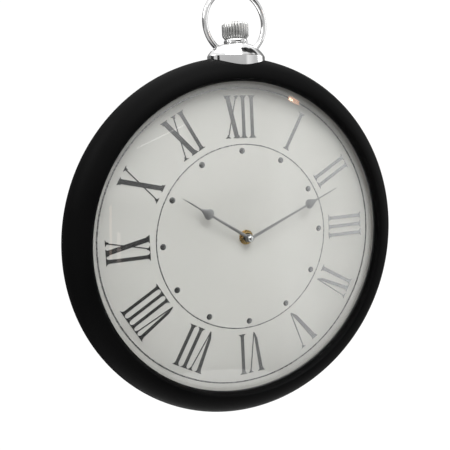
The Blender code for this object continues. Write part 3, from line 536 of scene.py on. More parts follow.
def glass_material():
    """Clear glass with a slight waviness. Lamps shine through it onto the dial."""
    nodes = Nodes("clear_glass")
    wave = nodes.noise(7.0, 2.0)
    smear = nodes.noise(24.0, 5.0)
    colour = nodes.ramp(smear, ((0.3, (0.975, 0.985, 0.982)), (0.7, (0.992, 0.996, 0.995))))
    clear = nodes.add("ShaderNodeBsdfTransparent", Color=(0.96, 0.97, 0.97, 1.0))
    nodes.switch("Is Shadow Ray", nodes.shader, clear, "Material Output")
    return nodes.surface(colour, None, ((wave, 0.10, 0.0010),), Roughness=0.0, IOR=1.47,
                         Transmission_Weight=1.0)


def rubber_material():
    """Matt rubber with a dusty bloom."""
    nodes = Nodes("black_rubber")
    bloom = nodes.noise(180.0, 5.0)
    colour = nodes.ramp(bloom, ((0.35, grey(0.010)), (0.75, grey(0.028))))
    grain = nodes.noise(2200.0, 2.0)
    return nodes.surface(colour, nodes.between(bloom, 0.72, 0.92), ((grain, 0.2, 0.00005),))


def winding_material():
    """Enamelled copper wire laid turn by turn along x, its colour darkened in the grooves between turns as
    painted shade.
    """
    nodes = Nodes("copper_winding")
    turns = nodes.pattern("ShaderNodeTexWave", Scale=1900.0, wave_type="BANDS", bands_direction="X")
    turns = turns.outputs["Fac"]
    # painted shade: the colour is dark in the troughs between turns and bright on their crests
    colour = nodes.ramp(turns, ((0.0, (0.20, 0.06, 0.025)), (0.6, (0.62, 0.25, 0.12))))
    gloss = nodes.between(nodes.noise(400.0), 0.25, 0.42)
    return nodes.surface(colour, gloss, ((turns, 0.6, 0.00008),), Metallic=0.9)


def board_material():
    """Green solder mask over copper traces."""
    nodes = Nodes("circuit_board")
    upright = nodes.mapped(Rotation=(math.radians(90), 0, 0))
    traces = nodes.pattern("ShaderNodeTexBrick", upright, Scale=260.0, Color1=(0.015, 0.13, 0.05, 1),
                           Color2=(0.02, 0.16, 0.06, 1), Mortar=(0.06, 0.30, 0.10, 1))
    gloss = nodes.between(nodes.noise(500.0), 0.25, 0.4)
    return nodes.surface(traces.outputs["Color"], gloss, ((traces.outputs["Fac"], 0.3, 0.00004),))


def sleeve_material():
    """A cell's plain printed sleeve: dark, with a copper-coloured band at its positive end."""
    nodes = Nodes("battery_sleeve")
    copper_end = nodes.between(nodes.along("X"), 0.0, 1.0, 0.0118, 0.0120)
    colour = nodes.ramp(copper_end, ((0.45, (0.012, 0.012, 0.014)), (0.55, (0.42, 0.20, 0.08))))
    wear = nodes.noise(220.0, 5.0)
    return nodes.surface(colour, nodes.between(wear, 0.22, 0.38), ((wear, 0.06, 0.00005),), Metallic=0.4)


SOFT_TOUCH = soft_touch_material()
GLASS = glass_material()
DIAL = dial_material()
FOIL = foil_material("numeral_foil", (0.50, 0.50, 0.50), (0.09, 0.20))
LINE_FOIL = foil_material("line_foil", (0.42, 0.42, 0.42), (0.20, 0.36))
DOT_METAL = metal_material("dot_metal", (0.40, 0.40, 0.40), (0.14, 0.24))
CROWN_METAL = metal_material("crown_chrome", (0.62, 0.62, 0.61), (0.08, 0.14), scratch=0.002)
CHROME = metal_material("chrome", (0.84, 0.84, 0.84), (0.05, 0.10), scratch=0.002)
HAND_METAL = metal_material("hand_metal", (0.40, 0.40, 0.40), (0.28, 0.42), (0.3, 1.0, 0.3), 0.05)
STEEL = metal_material("zinc_plate", (0.52, 0.52, 0.54), (0.25, 0.42), (1.0, 1.0, 0.15), 0.06)
DARK_STEEL = metal_material("hub_steel", (0.22, 0.22, 0.23), (0.22, 0.36))
BRASS = turned_material("turned_brass", (0.62, 0.43, 0.17), (0.20, 0.36))
SPACER = spacer_material()
CASE_PLASTIC = plastic_material("case_plastic", 0.030, 0.52, 0.16)
MOVEMENT = plastic_material("movement_plastic", 0.022, 0.40, 0.10, 0.0, 2200.0)
GEAR = plastic_material("gear_plastic", 0.66, 0.34, 0.04, 0.03)
RUBBER = rubber_material()
WINDING = winding_material()
CIRCUIT = board_material()
SLEEVE = sleeve_material()


# ---------- case

def rim_crest(x, offset):
    """Height of the rim's top surface above the dial's axis, at x across and an offset in depth."""
    reach = RIM_RING + math.sqrt(RIM_SECTION ** 2 - offset ** 2)
    return math.sqrt(reach ** 2 - x ** 2)


def on_wall(node):
    """A node's place across and up the wall."""
    centre = middle_of(node)
    return centre.x, centre.z


def make_rim():
    """The rim's shell, with a rolled lip, and its four screw bosses."""
    centre = (RIM_RING, RIM_DEPTH)
    wide, tall = RIM_RING - LIP_RADIUS, RIM_FRONT - LIP_DEPTH
    lip = [(RIM_RING + wide * x, LIP_DEPTH + tall * y) for x, y in arc((0, 0), 1.0, 180, 97.5, 11)]
    outside = arc(centre, RIM_SECTION, 90, -60, 60)
    inside = arc(centre, RIM_SECTION - RIM_WALL, -60, 86, 24)
    seat = [(LIP_RADIUS + RIM_WALL, LIP_DEPTH), (LIP_RADIUS + 0.0004, LIP_DEPTH - 0.0001)]
    rim = lathe("rim_shell", lip + outside + inside + seat, RING_STEPS)
    top = rim_crest(0, 0)
    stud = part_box("pendant_stud")
    width = (stud[1][0] - stud[0][0]) / 2 + 0.0004
    cut(rim, rod("stud_hole", width, (0, PENDANT_Y, top - 0.01), (0, PENDANT_Y, top + 0.01)))
    show(rim, SOFT_TOUCH, node="case_rim")
    for number in range(1, 5):
        boss = band(SCREW_HOLE, 0.0036, 0.0063, 0.0240)
        place = at(*on_wall(f"back_screw_{number}"))
        turned(f"rim_boss_{number}", boss, 0.0004, SOFT_TOUCH, steps=SMALL_STEPS, place=place)


def make_glass():
    """The domed glass with a ground edge."""
    rise = GLASS_APEX - GLASS_BACK - GLASS_THICK
    edge = GLASS_BACK + GLASS_THICK
    rows = 40
    front = []
    for i in range(rows + 1):
        share = math.sin(math.radians(90 * i / rows))
        front.append((GLASS_OUTER * share, edge + rise * (1 - share ** 2)))
    back = [(radius, depth - GLASS_THICK) for radius, depth in reversed(front)]
    ground = [(GLASS_OUTER, edge - 0.0004), (GLASS_OUTER, edge - GLASS_THICK + 0.0004)]
    front[-1] = (GLASS_OUTER - 0.0004, edge)
    back[0] = (GLASS_OUTER - 0.0004, edge - GLASS_THICK)
    show(lathe("glass", front + ground + back, RING_STEPS), GLASS, node="glass_dome")


def make_rings():
    """Spacer, gasket, dial disc and retaining ring."""
    low, high = depths_of("spacer_ring")
    outer = radius_of("spacer_ring")
    inner_front, inner_back = 0.1556, 0.1580
    groove, step = 0.0005, 0.00022
    grooves = 5
    wall = []
    for i in range(grooves):
        share = (i + 0.5) / grooves
        radius = inner_back + (inner_front - inner_back) * share
        depth = low + (high - low) * share
        wall += [(radius, depth - groove), (radius + step, depth), (radius, depth + groove)]
    profile = [(inner_back, low)] + wall + [(inner_front, high), (outer, high), (outer, low)]
    turned("spacer", profile, 0.00025, SPACER, "spacer_ring", count=2)
    gasket = band(0.1558, radius_of("glass_gasket"), *depths_of("glass_gasket"))
    turned("gasket", gasket, 0.0002, RUBBER, "glass_gasket")
    turned("dial", band(DIAL_HOLE, DIAL_OUTER, DIAL_BACK, DIAL_FRONT), 0.0002, DIAL, "dial_plate")
    low, high = depths_of("dial_retaining_ring")
    outline = [(0.1565, high), (0.1585, high), (0.1585, low), (0.1520, low), (0.1520, low + 0.0015),
               (0.1565, low + 0.0015)]
    turned("retaining_ring", outline, 0.0003, CASE_PLASTIC, "dial_retaining_ring")


# ---------- dial print

def serif_foot(centre, stroke, reach, level, lift):
    """A serif on the base line, or upside down on the top line: a foot that curves up into its stroke."""
    side = [(reach, 0), (reach, 0.00040), (0.55 * reach + 0.45 * stroke, 0.00085),
            (0.20 * reach + 0.80 * stroke, 0.00170), (stroke, 0.00320)]
    points = side + [(-across, up) for across, up in reversed(side)]
    return [(centre + across, level + lift * up) for across, up in points]


def slant(low, high, half, height):
    """A stroke from one place on the base line to another on the top line."""
    return [(low - half, 0), (low + half, 0), (high + half, height), (high - half, height)]


def pointed(low, high, half, height):
    """The thick stroke of a V: its outer side turns in near the base line, so that it ends in a point."""
    turn = 0.0065
    return [(low, 0), (low + 0.0009, 0), (high + half, height), (high - half, height),
            (low - half + (high - low) * turn / height, turn)]


def numeral_strokes(text):
    """The strokes of a Roman numeral, drawn upright about its middle."""
    height = NUMERAL_HEIGHT
    hair = 0.00058
    upright, leaning, thick = (WEIGHT.get(text, 1.0) * width for width in (0.00178, 0.00205, 0.00240))
    advance = {"I": 0.0094, "V": 0.0148, "X": 0.0152}
    spread = SPREAD.get(text, 1.0)
    strokes = []
    place = -spread * sum(advance[letter] for letter in text) / 2
    for letter in text:
        width = advance[letter] * spread
        middle = place + width / 2
        lean = width / 2 - 0.0030
        if letter == "I":
            strokes += [slant(middle, middle, upright, height), serif_foot(middle, upright, 0.0040, 0, 1),
                        serif_foot(middle, upright, 0.0040, height, -1)]
        if letter == "V":
            strokes += [pointed(middle + 0.0006, middle - lean, leaning, height),
                        slant(middle + 0.0012, middle + lean + 0.0006, hair, height),
                        serif_foot(middle - lean, leaning, 0.0040, height, -1),
                        serif_foot(middle + lean + 0.0006, hair, 0.0030, height, -1)]
        if letter == "X":
            strokes += [slant(middle + lean, middle - lean, thick, height),
                        slant(middle - lean - 0.0003, middle + lean + 0.0003, hair, height)]
            for level, lift in ((0, 1), (height, -1)):
                strokes += [serif_foot(middle + lift * lean, thick, 0.0040, level, lift),
                            serif_foot(middle - lift * (lean + 0.0003), hair, 0.0030, level, lift)]
        place += width
    return strokes


def make_numerals():
    """Twelve foil numerals, each with its feet towards the centre."""
    words = ("I", "II", "III", "IV", "V", "VI", "VII", "VIII", "IX", "X", "XI", "XII")
    for hour, text in enumerate(words, 1):
        turn = Matrix.Rotation(math.radians(-30 * hour), 4, "Z")
        place = FACE @ turn @ Matrix.Translation((0, NUMERAL_BASE, 0))
        layers = []
        for i, stroke in enumerate(numeral_strokes(text)):
            layers.append(plate("stroke", [stroke], (PRINT_BACK, PRINT_BACK + FOIL_THICK + LAYER * i), place))
        show(joined(f"numeral_{hour:02d}", layers), FOIL)


def make_dial_marks():
    """The two printed rings and the twelve domed dots."""
    for name, radius, half in (("inner_ring", INNER_RING, 0.00055), ("outer_ring", OUTER_RING, 0.00070)):
        outline = band(radius - half, radius + half, PRINT_BACK, DIAL_FRONT + 0.00012)
        turned(name, outline, 0.00006, LINE_FOIL, count=2)
    for hour in range(1, 13):
        x, y = arc((0, 0), DOT_RING, 90, 90 - 30 * hour, 1)[1]
        outline = [(0, DIAL_FRONT + 0.00030), (0.0016, DIAL_FRONT + 0.00028), (0.0025, DIAL_FRONT + 0.00020),
                   (0.0030, DIAL_FRONT + 0.00008), (0.0031, PRINT_BACK), (0, PRINT_BACK)]
        show(lathe(f"hour_dot_{hour:02d}", outline, SMALL_STEPS, at(x, y)), DOT_METAL)


# ---------- hands and centre stack

def hand_outline(hub, sections):
    """A hand that points up: a round hub, then smooth flanks through half widths at growing distances."""
    first = sections[0][1]
    start = math.degrees(math.acos(first / hub))
    around = arc((0, 0), hub, 180 - start, 360 + start, 48)
    flank = [(width, reach) for reach, width in through(sections, 8)]
    left = [(-x, y) for x, y in reversed(flank)]
    return around + flank + left


def spade(low, wide, high, half_width, shaft, needle):
    """Sections of a spade: a hollow-sided start, its widest place and a long taper into the needle."""
    rise, fall = wide - low, high - wide
    return [(low, shaft), (low + 0.25 * rise, 0.45 * half_width), (low + 0.6 * rise, 0.85 * half_width),
            (wide, half_width), (wide + 0.25 * fall, 0.86 * half_width),
            (wide + 0.55 * fall, 0.50 * half_width), (high, needle)]


def make_hand(name, degrees, sections, hub, bore, thick, collar_back, body):
    """A pressed hand with rounded edges and a turned collar behind it."""
    turn = FACE @ Matrix.Rotation(math.radians(-degrees), 4, "Z")
    front = depths_of(name)[1]
    back = front - thick
    outlines = [hand_outline(hub, sections), circle(bore, SMALL_STEPS)]
    show(plate(f"{name}_blade", outlines, (back, front), turn, 0.00012), HAND_METAL, body, name)
    turned(f"{name}_collar", band(bore, hub - 0.0003, collar_back, back), 0.0002, DARK_STEEL,
           body=body, steps=FINE_STEPS)


def make_hands():
    """Both hands and the cap nut."""
    hour = [(0.0038, 0.0020), (0.0080, 0.0015), (0.0240, 0.00135)]
    hour += spade(0.0445, 0.0500, 0.0607, 0.0055, 0.0012, 0.0009) + [(0.0700, 0.00075), (0.0810, 0.0003)]
    make_hand("hour_hand", HOUR_ANGLE, hour, 0.0042, 0.00285, 0.0006, 0.0332, "hour_arm")
    minute = [(0.0030, 0.0017), (0.0080, 0.00155), (0.0400, 0.0012)]
    minute += spade(0.0694, 0.0750, 0.0861, 0.0050, 0.0010, 0.0008) + [(0.0980, 0.00060), (0.1120, 0.0003)]
    make_hand("minute_hand", MINUTE_ANGLE, minute, 0.0034, 0.00175, 0.0005, 0.0379, "minute_arm")
    low, high = depths_of("hand_cap_nut")
    dome = arc((0, 0), 1.0, 88, 12, 10)
    outline = [(0, high)] + [(0.0029 * x, low + (high - low) * y) for x, y in dome]
    outline += [(0.0030, low), (0.00175, low), (0.00175, low + 0.0006), (0, low + 0.0006)]
    show(lathe("cap_nut", outline, FINE_STEPS), CHROME, "minute_arm", "hand_cap_nut")


def make_stem_fixings():
    """Washer and nut on the stem."""
    washer = band(STEM_HOLE, radius_of("dial_washer"), *depths_of("dial_washer"))
    turned("washer", washer, 0.0002, BRASS, "dial_washer", steps=FINE_STEPS)
    outlines = [circle(radius_of("stem_nut"), 6), circle(STEM_HOLE, SMALL_STEPS)]
    show(plate("nut", outlines, depths_of("stem_nut"), FACE, 0.00025), BRASS, node="stem_nut")


# ---------- pendant

def in_pendant(rows):
    """Rows drawn about the pendant's upright axis, moved to its place."""
    return [[(x, y + PENDANT_Y, z) for x, y, z in row] for row in rows]


def bow_circle():
    """Radius and middle height of the bow's circle, and how far its balls are from the pendant's axis."""
    low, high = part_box("bow")
    ring = (high[0] - low[0]) / 2 - BOW_WIRE
    centre = high[2] - BOW_WIRE - ring
    return ring, centre, math.sqrt(ring ** 2 - (HINGE_Z - centre) ** 2)


def make_pendant_base():
    """The saddle: an oval foot that lies on the rim, domed up to the neck, with seats for the bow's ends."""
    width, depth = 0.0306, 0.0170       # half of the foot's length and width
    gap = 0.0003
    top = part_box("pendant_base")[1][2]
    unit = circle(1.0, 128)

    def oval(half_x, half_y, height):
        """A level oval row."""
        return [(half_x * x, half_y * y, height) for x, y in unit]

    def saddle(scale, lift=0.0):
        """A row that follows the rim."""
        row = oval(max(width * scale, STUD_HOLE), max(depth * scale, STUD_HOLE), gap + lift)
        return [(x, y, z + rim_crest(x, y + PENDANT_Y + RIM_DEPTH)) for x, y, z in row]

    outside = [(width, depth, 0.1792), (0.03055, 0.01695, 0.1800), (0.0302, 0.0167, 0.1808),
               (0.0290, 0.0162, 0.1826), (0.0266, 0.0153, 0.1852), (0.0236, 0.0142, 0.1877),
               (0.0196, 0.0128, 0.1901), (0.0150, 0.0116, 0.1917), (0.0114, 0.0107, top)]
    rows = [saddle(1.0), saddle(1.0, 0.0004)] + [oval(*section) for section in through(outside, 5)]
    rows[2] = [(x, y, max(z, low[2])) for (x, y, z), low in zip(rows[2], rows[1])]
    rows.append(oval(STUD_HOLE, STUD_HOLE, top))
    rows += [saddle(share) for share in (0.0, 0.2, 0.4, 0.6, 0.8, 0.95)]
    base = skin("pendant_saddle", in_pendant(rows), True)
    for side in (-1, 1):
        start = (side * 0.0172, PENDANT_Y, HINGE_Z)
        cut(base, rod("seat", BOW_SEAT, start, (side * 0.0330, PENDANT_Y, HINGE_Z)))
        ball = Vector((side * bow_circle()[2], PENDANT_Y, HINGE_Z))
        for swing in (20, 45):          # leave room for the bow when it leans forward
            lean = math.radians(swing)
            away = Vector((side * 0.25, -math.sin(lean), math.cos(lean)))
            cut(base, rod("swing", BOW_SEAT, ball, ball + away * 0.02))
    show(base, CHROME, node="pendant_base")


def make_neck_and_crown():
    """The round neck ring and the fluted crown."""
    low, high = (corner[2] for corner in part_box("pendant_neck_ring"))
    flank = through([(0.0102, low), (0.0114, low + 0.0008), (0.0119, low + 0.0021), (0.0117, high - 0.0016),
                     (0.0110, high - 0.0005), (0.0104, high)], 6)
    profile = flank + [(STUD_HOLE, high), (STUD_HOLE, low)]
    neck = lathe("neck_ring", profile, FINE_STEPS, Matrix.Translation((0, PENDANT_Y, 0)))
    show(neck, CHROME, node="pendant_neck_ring")
    low, high = (corner[2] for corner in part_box("pendant_crown"))
    radius = radius_of("pendant_crown")
    sections = [(0.0, 0.0, low + 0.0010), (0.0098, 0.0, low + 0.0010), (0.0100, 0.0, low), (0.0108, 0.1, low),
                (0.0114, 0.5, low + 0.0005), (radius - 0.0003, 1.0, low + 0.0026),
                (radius, 1.0, low + 0.0032), (radius, 1.0, low + 0.0070), (radius, 1.0, high - 0.0018),
                (radius - 0.0003, 0.9, high - 0.0010), (radius - 0.0012, 0.4, high - 0.0003),
                (radius - 0.0022, 0.0, high - 0.0001), (0.0095, 0.0, high), (0.0088, 0.0, high - 0.0004),
                (0.0, 0.0, high - 0.0004)]
    crown = skin("crown", in_pendant(fluted(sections, 28, 10, 0.00140, 1.4)))
    show(crown, CROWN_METAL, node="pendant_crown")


def make_bow():
    """The bow: a round ring of wire that swells into a ball at each end, and its two pins."""
    ring, centre, reach = bow_circle()
    ball = BOW_BALL
    foot = math.asin((HINGE_Z - centre) / ring)
    path = []
    for i in range(9):
        share = math.cos(math.pi / 2 * i / 9)
        path.append((-ball / ring * share, ball * math.sqrt(max(0.0, 1 - share ** 2))))
    path += [(0.0, ball), (ball / ring * 0.35, ball * 0.975), (ball / ring * 0.62, BOW_WIRE)]
    sweep = math.pi - 2 * foot
    turns = 160
    middle = [(ball / ring + (sweep - 2 * ball / ring) * i / turns, BOW_WIRE) for i in range(turns + 1)]
    ends = [(sweep - step, size) for step, size in reversed(path)]
    rows = []
    for step, size in path + middle + ends:
        angle = foot + step
        outward = Vector((math.cos(angle), 0, math.sin(angle)))
        spot = Vector((0, PENDANT_Y, centre)) + outward * ring
        if size < 1e-6:
            rows.append([tuple(spot)])
            continue
        rows.append([tuple(spot + outward * x + Vector((0, y, 0))) for x, y in circle(size, 32)])
    show(skin("bow_ring", rows), CHROME, "bow_body", "bow")
    for side, word in ((-1, "left"), (1, "right")):
        start, end = ((side * across, PENDANT_Y, HINGE_Z) for across in (0.0137, reach))
        show(rod(f"bow_pin_{word}", 0.0010, start, end), STEEL, "bow_body")


# ---------- back of the clock

def rectangle(low, high):
    """The corners of a rectangle."""
    return [low, (high[0], low[1]), high, (low[0], high[1])]


def make_back_cover():
    """The back cover with rounded openings, and its raised stiffening ribs."""
    half = 0.0350
    hanger = middle_of("hanger_plate").z
    window = rounded(rectangle((-half, -half), (half, half)), 0.0030, 6)
    nail = rounded(rectangle((-0.0080, hanger - 0.0120), (0.0080, hanger + 0.0120)), 0.0015, 4)
    outlines = [circle(radius_of("back_cover"), RING_STEPS), window, nail]
    outlines += [circle(SCREW_HOLE, 16, on_wall(f"back_screw_{number}")) for number in range(1, 5)]
    outlines += [circle(RIVET_HOLE, 16, on_wall(rivet)) for rivet in RIVETS]
    show(plate("cover", outlines, (COVER_BACK, COVER_FRONT), FACE, 0.0002), CASE_PLASTIC,
         node="back_cover")
    for number, ring in enumerate((0.0620, 0.1050, 0.1530), 1):
        high = COVER_BACK + 0.0001
        outline = [(ring - 0.0012, COVER_BACK - 0.0006), (ring + 0.0012, COVER_BACK - 0.0006),
                   (ring + 0.0016, high), (ring - 0.0016, high)]
        turned(f"cover_rib_{number}", outline, 0.0004, CASE_PLASTIC)


def make_screws():
    """Cross-recess screws, with a thread below their heads."""
    turns = 14
    core, crest = 0.0012, 0.0015        # radii of the thread
    for number in range(1, 5):
        name = f"back_screw_{number}"
        low, high = depths_of(name)
        place = at(*on_wall(name))
        head = low + 0.0016
        outline = [(0, high), (0.0010, high), (crest, high - 0.0012)]
        for i in range(turns):
            depth = high - 0.0014 - (high - 0.0018 - head) * i / turns
            outline += [(crest, depth), (core, depth - 0.0004)]
        outline += [(crest, head), (0.0034, head), (0.0033, head - 0.0005), (0.0027, head - 0.0012),
                    (0.0015, low + 0.00003), (0, low)]
        screw = lathe(f"{name}_cross", outline, SMALL_STEPS, place)
        slot = rectangle((-0.0016, -0.00028), (0.0016, 0.00028))
        for turn in (0, 90):
            turned_place = place @ Matrix.Rotation(math.radians(turn + 20 * number), 4, "Z")
            cut(screw, plate("recess", [slot], (low - 0.001, low + 0.0009), turned_place))
        show(screw, STEEL, node=name)


def make_rivets_and_bumpers():
    """The hanger's countersunk rivets, and the rubber pads that rest on the wall."""
    for name in RIVETS:
        low, high = depths_of(name)
        outline = [(0, high), (0.0014, high - 0.0001), (0.0026, high - 0.0005), (0.0030, high - 0.0008),
                   (0.0017, high - 0.0009), (0.0017, low + 0.0009), (0.0031, low), (0.0012, low),
                   (0.0009, low + 0.0003), (0, low + 0.0003)]
        show(lathe(f"{name}_round", outline, SMALL_STEPS, at(*on_wall(name))), STEEL, node=name)
    for number in range(1, 5):
        name = f"wall_bumper_{number}"
        low, high = depths_of(name)
        radius = radius_of(name)
        outline = [(0, high), (radius, high), (radius, low + 0.0010), (radius - 0.0010, low), (0.0022, low),
                   (0.0014, low + 0.0006), (0, low + 0.0006)]
        pad = lathe(f"{name}_pad", rounded(outline, 0.0005, 3, False), SMALL_STEPS, at(*on_wall(name)))
        show(pad, RUBBER, node=name)


def make_hanger():
    """The keyhole plate with rounded corners and a pressed edge."""
    low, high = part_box("hanger_plate")
    depths = depths_of("hanger_plate")
    middle = middle_of("hanger_plate").z
    slot, hole = 0.0022, 0.0045
    start = math.degrees(math.acos(slot / hole))
    keyhole = arc((0, middle - 0.0040), hole, start, start - 360 + 2 * (90 - start), 40)
    keyhole += arc((0, middle + 0.0060), slot, 180, 0, 12)
    outline = rounded(rectangle((low[0], low[2]), (high[0], high[2])), 0.0040, 6)
    holes = [circle(RIVET_HOLE, 16, (on_wall(rivet)[0], middle)) for rivet in RIVETS]
    hanger = plate("hanger", [outline, keyhole] + holes, depths, FACE, 0.0002)
    rear = depths[0]
    for rivet in RIVETS:
        sink = [(0, rear - 0.0002), (0.0036, rear - 0.0002), (RIVET_HOLE, rear + 0.0010), (0, rear + 0.0010)]
        cut(hanger, lathe("countersink", sink, SMALL_STEPS, at(*on_wall(rivet))))
    show(hanger, STEEL, node="hanger_plate")


def make_movement_back():
    """What the window shows: the movement's cover with its moulded ribs, the setting knob and the cell."""
    for node in ("movement_housing", "movement_back_cover"):
        softened = solid(f"{node}_soft", cleaned(frame["nodes"][node].data))
        bevel(softened, 0.0004, 35)
        show(softened, MOVEMENT, node=node)
    low, high = depths_of("movement_back_cover")
    for number in range(6):
        across = -0.0230 + 0.0042 * number
        outline = rounded(rectangle((across, 0.0080), (across + 0.0016, 0.0230)), 0.0007, 3)
        rib = plate(f"movement_rib_{number + 1}", [outline], (low - 0.0005, low + 0.0002), FACE, 0.00015)
        show(rib, MOVEMENT)
    knob = JOINTS["setting_knob_turn"]["pos_m"]
    low, high = depths_of("setting_knob")
    sections = [(0, 0.0, low + 0.0004), (0.0020, 0.0, low + 0.0004), (0.0026, 0.0, low), (0.0043, 0.2, low),
                (0.0050, 1.0, low + 0.0005), (0.0050, 1.0, low + 0.0018), (0.0046, 0.3, low + 0.0021),
                (0.0014, 0.0, low + 0.0021), (0.0014, 0.0, high), (0, 0.0, high)]
    rows = fluted(sections, 24, 6, 0.0004, 1)
    show(skin("knob", rows, False, at(knob[0], knob[2])), GEAR, "setting_knob_body")
    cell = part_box("battery_cell")
    centre = middle_of("battery_cell")
    radius = (cell[1][2] - cell[0][2]) / 2
    start, end = cell[0][0], cell[1][0]
    outline = [(0, end), (0.0024, end), (0.00275, end - 0.0003), (0.00275, end - 0.0010),
               (0.0052, end - 0.0010), (0.0056, end - 0.0006), (0.0066, end - 0.0006), (radius, end - 0.0014),
               (radius, start + 0.0006), (radius - 0.0006, start), (0.0052, start), (0.0048, start + 0.0003),
               (0, start + 0.0003)]
    place = Matrix.Translation((0, centre.y, centre.z)) @ Matrix.Rotation(math.radians(90), 4, "Y")
    show(lathe("cell", rounded(outline, 0.0002, 2, False), FINE_STEPS, place), SLEEVE,
         node="battery_cell")


def paint_inner_nodes():
    """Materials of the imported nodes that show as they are."""
    groups = (
        (GEAR, ("hour_wheel", "minute_wheel", "centre_wheel", "third_wheel", "fourth_wheel", "fifth_wheel",
                "setting_knob", "coil_bobbin")),
        (STEEL, ("pendant_stud", "pendant_washer", "pendant_nut", "stator", "coil_core", "quartz_crystal",
                 "positive_contact", "negative_spring", "rotor")),
        (DARK_STEEL, ("centre_arbor",)),
        (RUBBER, ("movement_gasket",)),
        (WINDING, ("coil_winding",)),
        (CIRCUIT, ("circuit_board",)),
    )
    for material, nodes in groups:
        for node in nodes:
            for slot in frame["nodes"][node].material_slots:
                slot.material = material


# ---------- stage, camera and light

def make_camera():
    """Left of the clock and a little above its middle, looking right and slightly down."""
    camera = bpy.data.cameras.new("camera")
    camera.sensor_width = 36
    camera.lens = 44.41
    camera.shift_x = -0.0109
    camera.shift_y = -0.0684
    camera.clip_start = 0.01
    azimuth, elevation, roll = 24.01, 5.25, -2.575
    place = Matrix.Translation((-0.2396, -0.5038 - DIAL_FRONT, 0.0955))
    for degrees, axis in ((-azimuth, "Z"), (90 - elevation, "X"), (roll, "Z")):
        place = place @ Matrix.Rotation(math.radians(degrees), 4, axis)
    holder = new_object("camera", camera)
    holder.matrix_world = place
    bpy.context.scene.camera = holder


def make_floor():
    """A round pale floor below the hanging clock."""
    disc = [(0, -0.01), (0.52, -0.01), (0.525, -0.005), (0.52, 0), (0, 0)]
    floor = lathe("floor", disc, RING_STEPS, Matrix.Translation((0, -0.08, -0.62)))
    nodes = Nodes("floor_paint")
    cloud = nodes.noise(2.0, 3.0)
    colour = nodes.ramp(cloud, ((0.3, grey(0.80)), (0.7, grey(0.84))))
    bumps = ((nodes.noise(400.0, 2.0), 0.05, 0.0001),)
    floor.data.materials.append(nodes.surface(colour, nodes.between(cloud, 0.85, 0.95), bumps))


def area_light(name, place, target, size, watts, colour=(1, 1, 1), along=(1, 0, 0)):
    """A rectangular soft light that faces a point, with its first side along a direction."""
    light = bpy.data.lights.new(name, "AREA")
    light.shape = "RECTANGLE"
    light.size, light.size_y = size
    light.energy = watts
    light.color = colour
    holder = new_object(name, light)
    back = (Vector(place) - Vector(target)).normalized()
    upright = back.cross(Vector(along)).normalized()
    turn = Matrix((upright.cross(back), upright, back)).transposed().to_4x4()
    holder.matrix_world = Matrix.Translation(place) @ turn


def towards(azimuth, elevation):
    """A direction in front of the clock: the azimuth counts from straight ahead to the right."""
    turn = math.radians(azimuth)
    rise = math.radians(elevation)
    return Vector((math.sin(turn) * math.cos(rise), -math.cos(turn) * math.cos(rise), math.sin(rise)))


# Dark screens that the chrome shows: a direction and a half width in degrees.
DARK_FLAGS = (
    ((0.46, -0.53, 0.71), 6.0),
    ((0.61, -0.42, 0.67), 8.0),
    ((0.75, -0.22, 0.62), 7.0),
    ((-0.99, -0.05, 0.15), 12.0),
    ((-0.72, -0.68, 0.15), 5.0),
)

# Lamps at LAMP_DISTANCE from a spot of the glass that mirrors them: name, spot, azimuth, elevation, size,
# watts, colour, and the azimuth and elevation of a point that one side runs to.
LAMP_DISTANCE = 2
SMALL_LAMPS = (
    ("lamp_core", (0.054, -0.040, 0.136), 41.6, 21.3, (0.04, 0.02), 0.035, (1.0, 0.75, 0.55), (45, 19)),
    ("lamp_glow", (0.054, -0.040, 0.136), 42.4, 20.9, (0.12, 0.045), 0.085, (1.0, 0.52, 0.30), (45, 19)),
    ("shelf_edge", (-0.095, -0.041, 0.100), 4.4, 17.0, (0.50, 0.010), 0.028, (1.0, 1.0, 0.97), (11.5, 19.5)),
    ("curtain_left", (-0.137, -0.040, 0.015), -9.9, -5.0, (0.50, 0.022), 0.040, (1.0, 0.70, 0.56), (-9.3, 5)),
    ("curtain_right", (-0.133, -0.040, 0.0), -8.2, -9.0, (0.30, 0.035), 0.035, (1.0, 0.82, 0.76), (-7.6, 0)),
)


class Room(Graph):
    """The world's shader under construction: a brightness for each direction."""

    def __init__(self):
        world = bpy.data.worlds.new("studio")
        bpy.context.scene.world = world
        world.use_nodes = True
        super().__init__(world.node_tree)
        self.direction = self.add("ShaderNodeTexCoord").outputs["Generated"]
        split = self.add("ShaderNodeSeparateXYZ")
        self.link(self.direction, split.inputs[0])
        self.across, self.inward, self.upward = split.outputs

    def graded(self, value, low, high, stops):
        """A brightness that follows a value between two ends."""
        stops = [((position - low) / (high - low), grey(brightness)) for position, brightness in stops]
        return self.ramp(self.between(value, 0.0, 1.0, low, high), stops)

    def math(self, operation, first, second):
        """Two values combined."""
        node = self.add("ShaderNodeMath", operation=operation)
        self.link(first, node.inputs[0])
        self.link(second, node.inputs[1])
        return node.outputs["Value"]

    def near(self, towards):
        """How near a direction is to another one, as a cosine."""
        node = self.add("ShaderNodeVectorMath", operation="DOT_PRODUCT")
        node.inputs[1].default_value = Vector(towards).normalized()
        self.link(self.direction, node.inputs[0])
        return node.outputs["Value"]

    def finish(self, brightness, backdrop):
        """Show the room to every ray but the camera's, which sees a white backdrop."""
        room = self.tree.nodes["Background"]
        self.link(brightness, room.inputs["Color"])
        white = self.add("ShaderNodeBackground", Color=(1, 1, 1, 1), Strength=backdrop)
        self.switch("Is Camera Ray", room, white, "World Output")


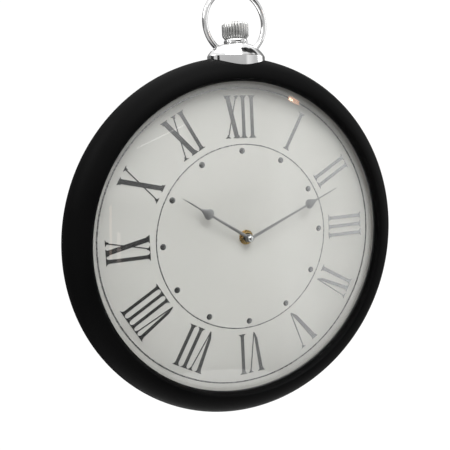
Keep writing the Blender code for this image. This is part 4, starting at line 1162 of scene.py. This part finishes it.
def make_light():
    """A bright room that is dark where the photographer stands, and soft boxes."""
    room = Room()
    level = room.graded(room.across, -1.0, 1.0, (
        (-1.0, 0.70), (-0.45, 0.55), (-0.30, 0.20), (0.0, 0.03), (0.22, 0.02), (0.28, 0.06), (0.33, 0.11),
        (0.40, 0.20), (0.45, 0.36), (0.50, 0.52), (0.53, 0.74), (0.58, 0.96), (0.66, 0.85), (0.80, 0.60),
        (1.0, 0.60)))
    above = room.graded(room.upward, -1.0, 1.0, (
        (-1.0, 0.30), (-0.60, 0.25), (-0.50, 0.0), (-0.03, 0.0), (0.0, 0.08), (0.03, 0.20), (0.055, 0.45),
        (0.13, 0.54), (0.22, 0.60), (0.45, 0.95), (1.0, 1.00)))
    ceiling = room.graded(room.upward, -1.0, 1.0, ((-1.0, 0.0), (0.50, 0.0), (0.68, 1.10), (1.0, 1.10)))
    behind = room.graded(room.inward, -1.0, 1.0, ((-1.0, 1.0), (-0.05, 1.0), (0.25, 0.28), (1.0, 0.35)))
    walls = room.math("MULTIPLY", room.math("MAXIMUM", level, above), behind)
    brightness = room.math("MAXIMUM", walls, ceiling)
    for direction, spread in DARK_FLAGS:
        dark = math.cos(math.radians(spread))
        clear = math.cos(math.radians(spread * 1.15 + 1))
        flag = room.graded(room.near(direction), clear, dark, ((clear, 1.0), (dark, 0.05)))
        brightness = room.math("MULTIPLY", brightness, flag)
    room.finish(brightness, 1.05)
    area_light("key_softbox", (0.2, -1.75, 1.9), (0, 0, 0), (1.5, 1.2), 28)
    area_light("right_softbox", (2.4, -0.5, 0.6), (0, 0, 0), (1.0, 1.4), 7, along=(0, 1, 0))
    area_light("left_softbox", (-2.1, -0.2, 1.6), (0, 0, 0), (1.0, 1.2), 18, along=(0, 1, 0))
    area_light("top_softbox", (0, -0.2, 2.6), (0, 0, -0.55), (2.4, 2.4), 26)
    for name, spot, azimuth, elevation, size, watts, colour, end in SMALL_LAMPS:
        aim = towards(azimuth, elevation)
        start = Vector(spot)
        area_light(name, start + LAMP_DISTANCE * aim, start, size, watts, colour, towards(*end) - aim)
    bpy.context.scene.view_settings.view_transform = "Standard"


# ---------- the whole picture

make_camera()
make_rim()
make_glass()
make_rings()
make_numerals()
make_dial_marks()
make_hands()
make_stem_fixings()
make_pendant_base()
make_neck_and_crown()
make_bow()
make_back_cover()
make_screws()
make_rivets_and_bumpers()
make_hanger()
make_movement_back()
paint_inner_nodes()
make_floor()
make_light()
